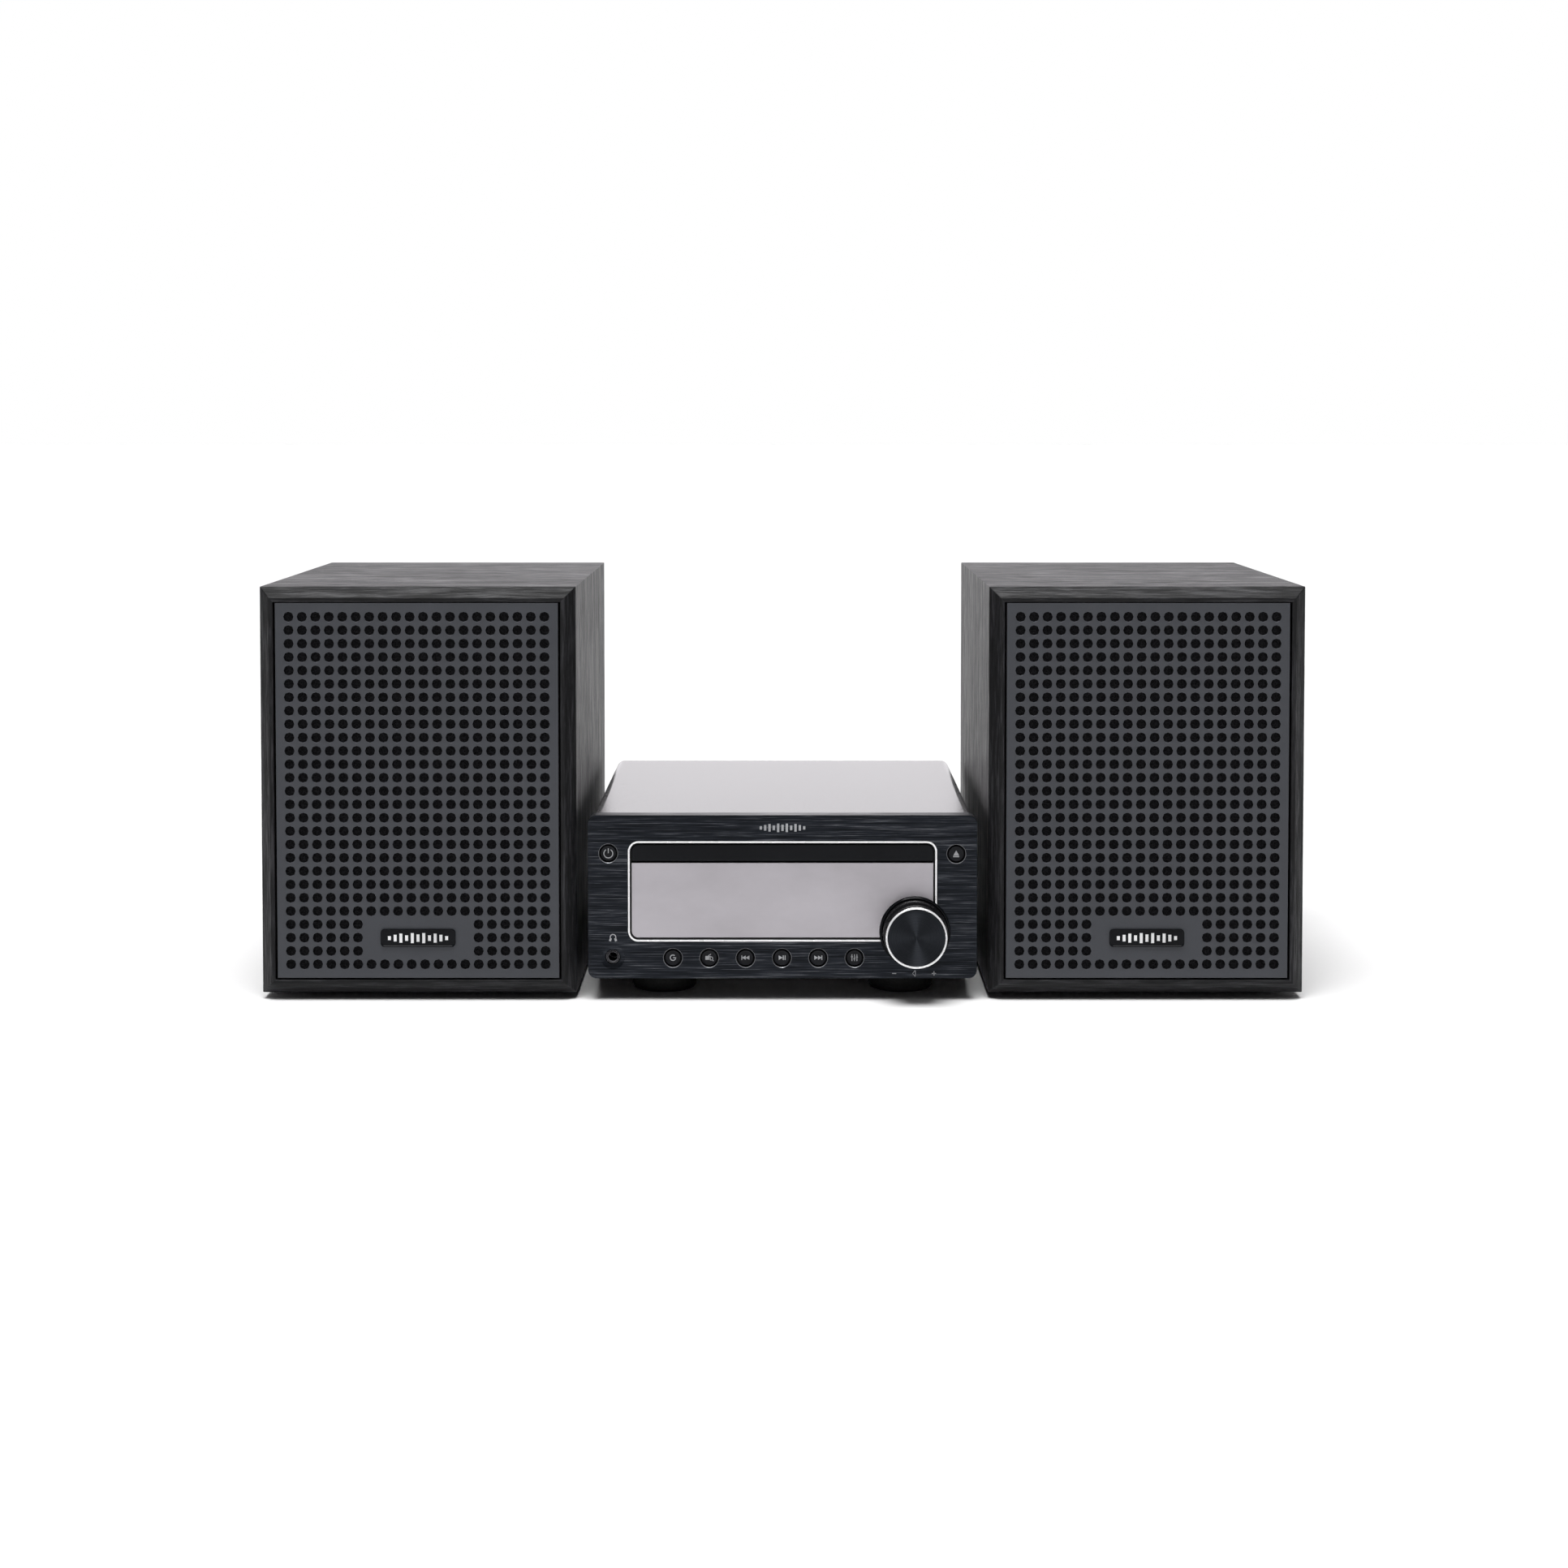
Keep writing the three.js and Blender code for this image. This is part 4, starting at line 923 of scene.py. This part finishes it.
def makeWindow():
    low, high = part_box("window_trim")
    look = windowLook
    trim = outlineBlock("windowTrim", low.y, high.y, 0)
    cutAway(trim, outlineBlock("cutter", low.y - mm, low.y + look["step"], look["bright"]),
            outlineBlock("cutter", low.y, high.y + mm, look["band"]), collarCutter())
    soften(trim, 0.13 * mm, 2, 50)
    dress(trim, finish["trim"], finish["plastic"], choose=lambda c, n: int(c.y > low.y + 0.3 * mm))
    place(trim, "receiver", "polished_trim", "window_trim")
    inset = look["band"] + look["play"]
    for name, node, body, slot, material, edge, below, above in (
            ("displayGlass", "display_lens", "receiver", "display_glass", "glass", 0.16 * mm, 0, 0.1 * mm),
            ("drawerFront", "tray_door", "disc_drawer", "gloss_black", "glossBlack", 0.35 * mm, look["doorGap"], 0)):
        nodeLow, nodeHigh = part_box(node)
        piece = outlineBlock(name, nodeLow.y, nodeHigh.y, inset)
        far = 200 * mm
        under = block("cutter", (-far, -far, -far), (far, far, nodeLow.z + below))
        over = block("cutter", (-far, -far, nodeHigh.z - above), (far, far, far))
        cutAway(piece, under, over)
        if node == "display_lens":
            cutAway(piece, collarCutter())
        soften(piece, edge, 2, 50)
        place(piece, body, slot, node, wear=finish[material])


makeFascia()
makeWindow()
print("fascia and window ready")


# receiver: controls
def makeKnob():
    low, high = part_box("volume_knob")
    centre = Vector((knobMid.x, low.y, knobMid.z))
    rings = [(0.3, 0.75), (4, 0.72), (9, 0.66), (12.9, 0.6), (13.2, 0.55), (13.35, 0.12), (13.45, 0), (13.6, 0.02),
             (14.08, 0.5), (14.1, 0.75), (14.1, 0.9), (13.9, 1.1), (13.9, 4.6), (14.1, 4.8), (14.1, 7.6),
             (13.9, 7.8), (13.9, 8.3), (14.3, 8.4), (14.9, 8.6), (15, 8.9), (15, 11.2), (14.8, 11.4), (14.8, 11.8),
             (15, 12), (15, 15.4), (13.2, 15.4), (13.2, 2.6), (4.5, 2.6), (4.5, 13.8), (3.1, 13.8), (3.1, 3.8),
             (0.3, 3.8)]
    knob = turned("volumeKnob", centre, rings, 96)

    def material(c, n):
        radius, deep = fromAxis(c, centre), c.y - centre.y
        if deep < 0.8 * mm and radius < 13.25 * mm:
            return 0
        return 1 if deep < 0.85 * mm and radius > 13.2 * mm else 2

    dress(knob, spunFace("spunKnobFace", centre), finish["knobRing"], finish["knobSide"], choose=material)
    place(knob, "volume_control", "turned_black_metal", "volume_knob", angle=25)
    low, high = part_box("knob_collar")
    rings = [(4, 1.7), (15.1, 1.7), (15.3, 1.5), (15.3, 0.2), (15.5, 0), (15.9, 0), (16.2, 0.3), (16.2, 3.9), (4, 3.9),
             (4, 1.7)]
    collar = turned("knobCollar", (knobMid.x, low.y, knobMid.z), rings, 96)
    place(collar, "receiver", "gloss_black", "knob_collar", angle=25, wear=finish["glossBlack"])


left, up = math.pi, math.pi / 2
icons = {
    "power_button": [(markRing, 0, -0.15, 2.05, 0.42, 0, 62), (markBar, 0, 1.15, 0.42, 2.3)],
    "eject_button": [(markTriangle, 0, -0.05, 1.6, up), (markBar, 0, -1.3, 2.8, 0.5)],
    "source_button": [(markRing, 0, 0, 1.25, 0.44, 62, 48), (markBar, 0.75, 0, 1.4, 0.42)],
    "tuner_button": [(markBar, -0.55, -0.1, 2.5, 1.75), (markBar, 0.1, 1.25, 1.6, 0.32, -0.55),
                     (markRing, 0.85, -0.35, 0.75, 0.34), (markBar, 1.6, -1.15, 1.1, 0.38, 0.8)],
    "previous_button": [(markBar, -1.72, 0, 0.4, 2.1), (markTriangle, -0.5, 0, 1.15, left),
                        (markTriangle, 1.2, 0, 1.15, left)],
    "play_pause_button": [(markTriangle, -0.85, 0, 1.2, 0), (markBar, 0.65, 0, 0.42, 2.1),
                          (markBar, 1.5, 0, 0.42, 2.1)],
    "next_button": [(markBar, 1.72, 0, 0.4, 2.1), (markTriangle, 0.5, 0, 1.15, 0), (markTriangle, -1.2, 0, 1.15, 0)],
    "equaliser_button": [(markBar, -1.15, 0, 0.36, 3.1), (markBar, -1.15, 0.45, 0.85, 0.6),
                         (markBar, 0, 0, 0.36, 3.1), (markBar, 0, -0.55, 0.85, 0.6),
                         (markBar, 1.15, 0, 0.36, 3.1), (markBar, 1.15, 0.25, 0.85, 0.6)],
}
buttonRings = [(0.2, 0.28), (2.7, 0.28), (3.0, 0.2), (3.2, 0.04), (3.4, 0.02), (3.6, 0.25), (3.7, 0.7), (3.7, 3.0),
               (5.4, 3.0), (5.4, 4.0), (1.5, 4.0), (1.5, 6.5)]


def makeButton(node):
    centre = onAxis(node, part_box(node)[0].y)
    cap = turned(node.replace("_button", "Key").replace("play_pause", "playPause"), centre, buttonRings, 40)
    dress(cap, finish["button"])
    marks = drawn(icons[node], centre.x, centre.y + 0.28 * mm - inkDepth / 2, centre.z)
    joined(cap, *inked(marks, finish["ink"]))
    body = node.replace("_button", "_key")
    return place(cap, body, "button_black", node)


def makeHeadphoneSocket():
    low, mid, high = span("headphone_socket")
    body = block("headphoneSocket", (low.x, low.y + 2.5 * mm, low.z), high)
    soften(body, 0.4 * mm)
    cutAway(body, drill(mid.x, low.y, mid.z, 2.05 * mm, 14 * mm, 32))
    dress(body, finish["plastic"])
    nose = turned("nose", (mid.x, low.y, mid.z), [
        (2.05, 2.5), (2.05, 0.5), (2.25, 0.15), (2.4, 0), (2.9, 0), (3.15, 0.15), (3.3, 0.5), (3.3, 2.5),
        (2.05, 2.5)], 48)
    # the nose's bevelled faces take the grey plastic, a painted highlight on its edges
    dress(nose, finish["knobSide"], finish["greyPlastic"], choose=lambda c, n: int(0.2 < -n.y < 0.95))
    contact = turned("contact", (mid.x, low.y, mid.z), [
        (1.85, 8), (2.04, 8), (2.04, 12), (1.85, 12), (1.85, 8)], 32)
    dress(contact, finish["zinc"])
    joined(body, nose, contact)
    return place(body, "receiver", "matte_black", "headphone_socket")


makeKnob()
for node in buttonNames:
    makeButton(node)
makeHeadphoneSocket()
print("controls ready")


# receiver: casing, rear sockets, feet and drawer
coverLook = {"bend": 4 * mm, "sheet": 1.2 * mm, "edge": 0.25 * mm, "vents": 6, "ventHeight": (30 * mm, 62 * mm),
             "firstVent": 60 * mm, "ventStep": 16 * mm, "ventHalf": 1.6 * mm}


def makeCover():
    look = coverLook
    low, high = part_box("top_cover")
    cover = block("topCover", low, high)
    editEdges(cover, lambda a, b: abs(a.z - b.z) < 1e-7 and abs(a.x - b.x) < 1e-7 and a.z > high.z - mm)
    bpy.ops.mesh.bevel(offset=look["bend"], segments=8, affect="EDGES")
    endEdit()
    editFaces(cover, lambda c, n: abs(n.y) > 0.9 or n.z < -0.9)
    bpy.ops.mesh.delete(type="FACE")
    endEdit()
    applyModifier(cover, "SOLIDIFY", thickness=look["sheet"], offset=-1.0, use_even_offset=True)
    soften(cover, look["edge"], 2, 50)
    zLow, zHigh = look["ventHeight"]
    for k in range(look["vents"]):
        y = frontY + look["firstVent"] + k * look["ventStep"]
        for x in (low.x, high.x):
            cutAway(cover, roundedBlock("cutter", (x - 3 * mm, y - look["ventHalf"], zLow),
                                        (x + 3 * mm, y + look["ventHalf"], zHigh), 1.5 * mm, 6, 0))
    return place(cover, "receiver", "satin_cover", "top_cover", wear=finish["cover"])


rearLook = {"vents": 7, "firstVent": -76 * mm, "ventStep": 8 * mm, "ventMiddle": 64 * mm, "inset": 5 * mm,
            "antennaHole": 5.1 * mm, "phonoHole": 4.55 * mm, "inletScrew": 15 * mm}


def makeRearPanel():
    look, inset = rearLook, rearLook["inset"]
    low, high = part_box("rear_panel")
    panel = block("rearPanel", low, high)
    soften(panel, 0.2 * mm)
    inlet, antenna, phono = (middle(n) for n in ("mains_inlet", "antenna_socket", "phono_sockets"))
    back = high.y + 2 * mm
    front = low.y - 2 * mm
    inletHole = roundedBlock("cutter", *around(inlet.x, inlet.z, 10.5 * mm, 5.5 * mm, front, back), 5.2 * mm, 10)
    antennaHole = drill(antenna.x, front, antenna.z, look["antennaHole"], back - front, 40)
    cutAway(panel, inletHole, antennaHole)
    for x, z in phonoPlaces():
        cutAway(panel, drill(x, front, z, look["phonoHole"], back - front, 36))
    for k in range(look["vents"]):
        middleX = look["firstVent"] + k * look["ventStep"]
        cutAway(panel, roundedBlock(
            "cutter", *around(middleX, look["ventMiddle"], 1.5 * mm, 12 * mm, front, back), 1.4 * mm, 5))
    dress(panel, finish["blackPaint"])
    outer = [(x, z) for z in (low.z + inset, high.z - inset) for x in (low.x + inset, high.x - inset)]
    outer += [(0, high.z - 4 * mm), (phono.x, phono.z), (inlet.x - look["inletScrew"], inlet.z),
              (inlet.x + look["inletScrew"], inlet.z)]
    screws = [makeScrew("screw", (x, high.y - 0.3 * mm, z), 2.1 * mm) for x, z in outer]
    y = high.y + inkDepth / 2
    bars = []  # printed outlines round the sockets
    for x0, x1, z0, z1 in ((24, 60, 49, 83), (-19, 3, 57, 79), (-66, -24, 20, 44)):
        for a, b, c, d in ((x0, x1, z0, z0), (x0, x1, z1, z1), (x0, x0, z0, z1), (x1, x1, z0, z1)):
            bars.append((markBar, (a + b) / 2, (c + d) / 2, b - a + 0.3, d - c + 0.3))
    joined(panel, *screws, *inked(drawn(bars, 0, y, 0), finish["ink"]))
    return place(panel, "receiver", "black_steel", "rear_panel")


def phonoPlaces():
    phono = middle("phono_sockets")
    return [(phono.x + a * mm, phono.z + b * mm) for a in (-8, 8) for b in (-7, 7)]


def makeRearSockets():
    low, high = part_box("phono_sockets")
    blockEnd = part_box("rear_panel")[0].y - 0.3 * mm
    base = block("phonoSockets", low, (high.x, blockEnd, high.z))
    soften(base, 0.5 * mm)
    dress(base, finish["plastic"])
    jacks = []
    for x, z in phonoPlaces():
        ring = finish["redRing"] if x > middle("phono_sockets").x else finish["whiteRing"]
        jacks.append(phonoJack("jack", x, high.y - 8.8 * mm, z, ring))
    joined(base, *jacks)
    place(base, "receiver", "matte_black", "phono_sockets")
    low, mid, high = span("antenna_socket")
    rings = [(0.4, 0), (6.7, 0), (7, 0.3), (7, 5.4), (6.7, 5.7), (4.75, 5.7), (4.75, 15), (4.55, 15.4), (4.1, 15.4),
             (4, 15.2), (4, 6.5), (1.2, 6.5), (1.2, 13.4), (0.8, 14), (0.4, 14)]
    socket = turned("antennaSocket", (mid.x, low.y, mid.z), rings, 40)
    place(socket, "receiver", "bare_steel", "antenna_socket", wear=finish["zinc"])
    low, mid, high = span("mains_inlet")
    inlet = roundedBlock("mainsInlet", low, (high.x, blockEnd, high.z), 1 * mm, 3)
    nose = roundedBlock("nose", *around(mid.x, mid.z, 10.2 * mm, 5.2 * mm, blockEnd - mm, high.y), 5.1 * mm, 10)
    soften(nose, 0.3 * mm, 2, 50)
    applyModifier(inlet, "BOOLEAN", object=nose, operation="UNION", solver="EXACT")
    bpy.data.objects.remove(nose)
    cutAway(inlet, roundedBlock(
        "cutter", *around(mid.x, mid.z, 8.5 * mm, 4.2 * mm, low.y + 5 * mm, high.y + mm), 4.1 * mm, 10))
    dress(inlet, finish["plastic"])
    pins = []
    for offset in (-4.3 * mm, 4.3 * mm):
        pin = turned("pin", (mid.x + offset, low.y, mid.z), [
            (1.15, 4.6), (1.15, 15), (0.95, 15.7), (0.4, 16)], 20)
        dress(pin, finish["trim"])
        pins.append(pin)
    joined(inlet, *pins)
    place(inlet, "receiver", "matte_black", "mains_inlet")


def makeFeet():
    for node in ("front_left_foot", "front_right_foot", "rear_left_foot", "rear_right_foot"):
        low, mid, high = span(node)
        rings = [(0.5, 0.6), (9, 0.6), (9.6, 0), (13, 0), (14.2, 0.5), (14.8, 1.5), (15, 3), (15, 8), (14.6, 8.4),
                 (14.6, 8.9), (15, 9.3), (15, 11), (14.4, 11.7), (3, 11.7), (3, 13.4), (0.5, 13.4)]
        first, second, last = node.split("_")
        foot = turned(first + second.title() + last.title(), (mid.x, mid.y, 0), rings, 56, "Z")
        place(foot, "receiver", "foot_rubber", node, wear=finish["rubber"])


trayLook = {"disc": 73 * mm, "slotHalf": 18 * mm, "slotFrom": 55 * mm, "slotTo": 123 * mm, "grooveFrom": -54.25 * mm,
            "grooveTo": -33.6 * mm, "grooveTop": 67.8 * mm, "teeth": 45, "firstTooth": 24 * mm, "toothHalf": 1.12 * mm,
            "toothTip": -52 * mm, "tipShare": 0.27, "overlap": 0.05 * mm}


def makeTray():
    look = trayLook
    low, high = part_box("disc_tray")
    top = high.z
    tray = roundedBlock("discTray", low, high, 1.2 * mm, 4, 2)
    soften(tray, 0.4 * mm)
    centre = (0, frontY + look["disc"], top)
    discHole = turned("cutter", centre, [(60.2, -3), (60.5, -2.6), (60.5, -0.5), (61.3, 0.2)], 96, "Z")
    smallHole = turned("cutter", centre, [(40.2, -3.5), (40.5, -3.2), (40.5, 1)], 72, "Z")
    slot = roundedBlock("cutter", (-look["slotHalf"], frontY + look["slotFrom"], low.z - mm),
                        (look["slotHalf"], frontY + look["slotTo"], top + mm), 4 * mm, 6, 2)
    groove = block("cutter", (look["grooveFrom"], low.y - mm, low.z - mm),
                   (look["grooveTo"], high.y + mm, look["grooveTop"]))
    cutAway(tray, discHole, smallHole, slot, groove)
    teeth = []
    pitch = math.pi * mm
    for k in range(look["teeth"]):
        y = frontY + look["firstTooth"] + (k - 1.5) * pitch
        tooth = block("tooth", (look["grooveFrom"] - look["overlap"], y - look["toothHalf"], low.z),
                      (look["toothTip"], y + look["toothHalf"], look["grooveTop"] + look["overlap"]))
        editFaces(tooth, lambda c, n: n.x > 0.9)
        stretch((1, look["tipShare"], 1), (look["toothTip"], y, low.z))
        endEdit()
        teeth.append(tooth)
    joined(tray, *teeth)
    place(tray, "disc_drawer", "matte_black", "disc_tray", wear=finish["plastic"])


makeCover()
makeRearPanel()
makeRearSockets()
makeFeet()
makeTray()
print("casing and drawer ready")

# the inner nodes keep their solids and take a finish
inner = {
    "chassis_base": finish["blackPaint"], "loader_frame": finish["plastic"], "clamp_bridge": finish["zinc"],
    "sled_deck": finish["zinc"], "tray_motor": finish["zinc"], "tray_pinion": finish["palePlastic"],
    "spindle_platter": finish["greyPlastic"], "laser_pickup": finish["greyPlastic"],
    "heat_sink": finish["castMetal"], "display_module": finish["greyPlastic"],
    "main_board": circuitBoard("mainBoardGreen", "Z", 19.7 * mm),
    "power_board": circuitBoard("powerBoardGreen", "Z", 19.7 * mm),
    "control_board": circuitBoard("controlBoardGreen", "Y", frontY + 9.9 * mm),
}
for node, material in inner.items():
    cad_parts[node].data.materials.clear()
    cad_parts[node].data.materials.append(material)

# floor, light and camera
studio = {"floor": 0.92, "sun": 3.4, "sunAngle": 36, "sunFrom": (-0.06, -0.26, 1.0), "skyFront": 0.06,
          "skyBack": 2.3, "key": 5, "keySize": (2.0, 0.7), "keyFrom": (0, -0.9, 1.5)}


def paleFloor():
    bpy.ops.object.select_all(action="DESELECT")
    bpy.ops.mesh.primitive_plane_add(size=40, location=(0, 0, 0))
    floor = settle("floor")
    material, tree, shader = startFinish("paleFloor", shade(studio["floor"]), 0.7, Specular_IOR_Level=0.2)
    tone = noise(tree, spread(tree), 3, 2)
    color = ramp(tree, tone, [(0.3, shade(studio["floor"] * 0.985)), (0.7, shade(studio["floor"]))])
    feed(tree, shader, Base_Color=color)
    dress(floor, material)


def aimed(lamp, origin):
    lamp.location = origin
    lamp.rotation_euler = Vector(origin).to_track_quat("Z", "Y").to_euler()
    bpy.context.scene.collection.objects.link(lamp)


def studioLights():
    sun = bpy.data.objects.new("softSun", bpy.data.lights.new("softSun", "SUN"))
    sun.data.energy = studio["sun"]
    sun.data.angle = math.radians(studio["sunAngle"])
    aimed(sun, studio["sunFrom"])
    panel = bpy.data.objects.new("overhead", bpy.data.lights.new("overhead", "AREA"))
    panel.data.shape = "RECTANGLE"
    panel.data.size, panel.data.size_y = studio["keySize"]
    panel.data.energy = studio["key"]
    aimed(panel, studio["keyFrom"])


def studioSky():  # white behind the set, dim on the near side so that the black fronts stay black
    world = bpy.data.worlds.new("studioSky")
    bpy.context.scene.world = world
    world.use_nodes = True
    tree = world.node_tree
    coords = addNode(tree, "TexCoord")
    parts = addNode(tree, "SeparateXYZ")
    tree.links.new(coords.outputs["Generated"], parts.inputs[0])
    low = weighted(tree, parts.outputs["Z"], -0.6, parts.outputs["Y"])  # bright only low behind the set
    glow = between(tree, low, studio["skyFront"], studio["skyBack"], 0.45, 0.92)
    tree.links.new(glow, tree.nodes["Background"].inputs["Strength"])
    tree.nodes["Background"].inputs["Color"].default_value = (1, 0.975, 1.005, 1)
    white = addNode(tree, "Background")
    white.inputs["Color"].default_value = (1, 1, 1, 1)
    mix = addNode(tree, "MixShader")
    path = addNode(tree, "LightPath")
    tree.links.new(path.outputs["Is Camera Ray"], mix.inputs[0])
    tree.links.new(tree.nodes["Background"].outputs[0], mix.inputs[1])
    tree.links.new(white.outputs[0], mix.inputs[2])
    tree.links.new(mix.outputs[0], tree.nodes["World Output"].inputs["Surface"])


def frontCamera():
    view = {"distance": 1199.6 * mm, "height": 272.9 * mm, "aside": 0.7 * mm, "pitch": 2.5, "lens": 60.01,
            "shift": -0.165}
    camera = bpy.data.objects.new("camera", bpy.data.cameras.new("camera"))
    camera.data.sensor_width = 36
    camera.data.lens = view["lens"]
    camera.data.shift_y = view["shift"]
    camera.data.clip_start = 0.05
    camera.location = (view["aside"], frontY - view["distance"], view["height"])
    camera.rotation_euler = (math.radians(90 - view["pitch"]), 0, 0)
    bpy.context.scene.collection.objects.link(camera)
    bpy.context.scene.camera = camera


paleFloor()
studioLights()
studioSky()
frontCamera()
bpy.context.scene.view_settings.view_transform = "Standard"
print("stage ready")
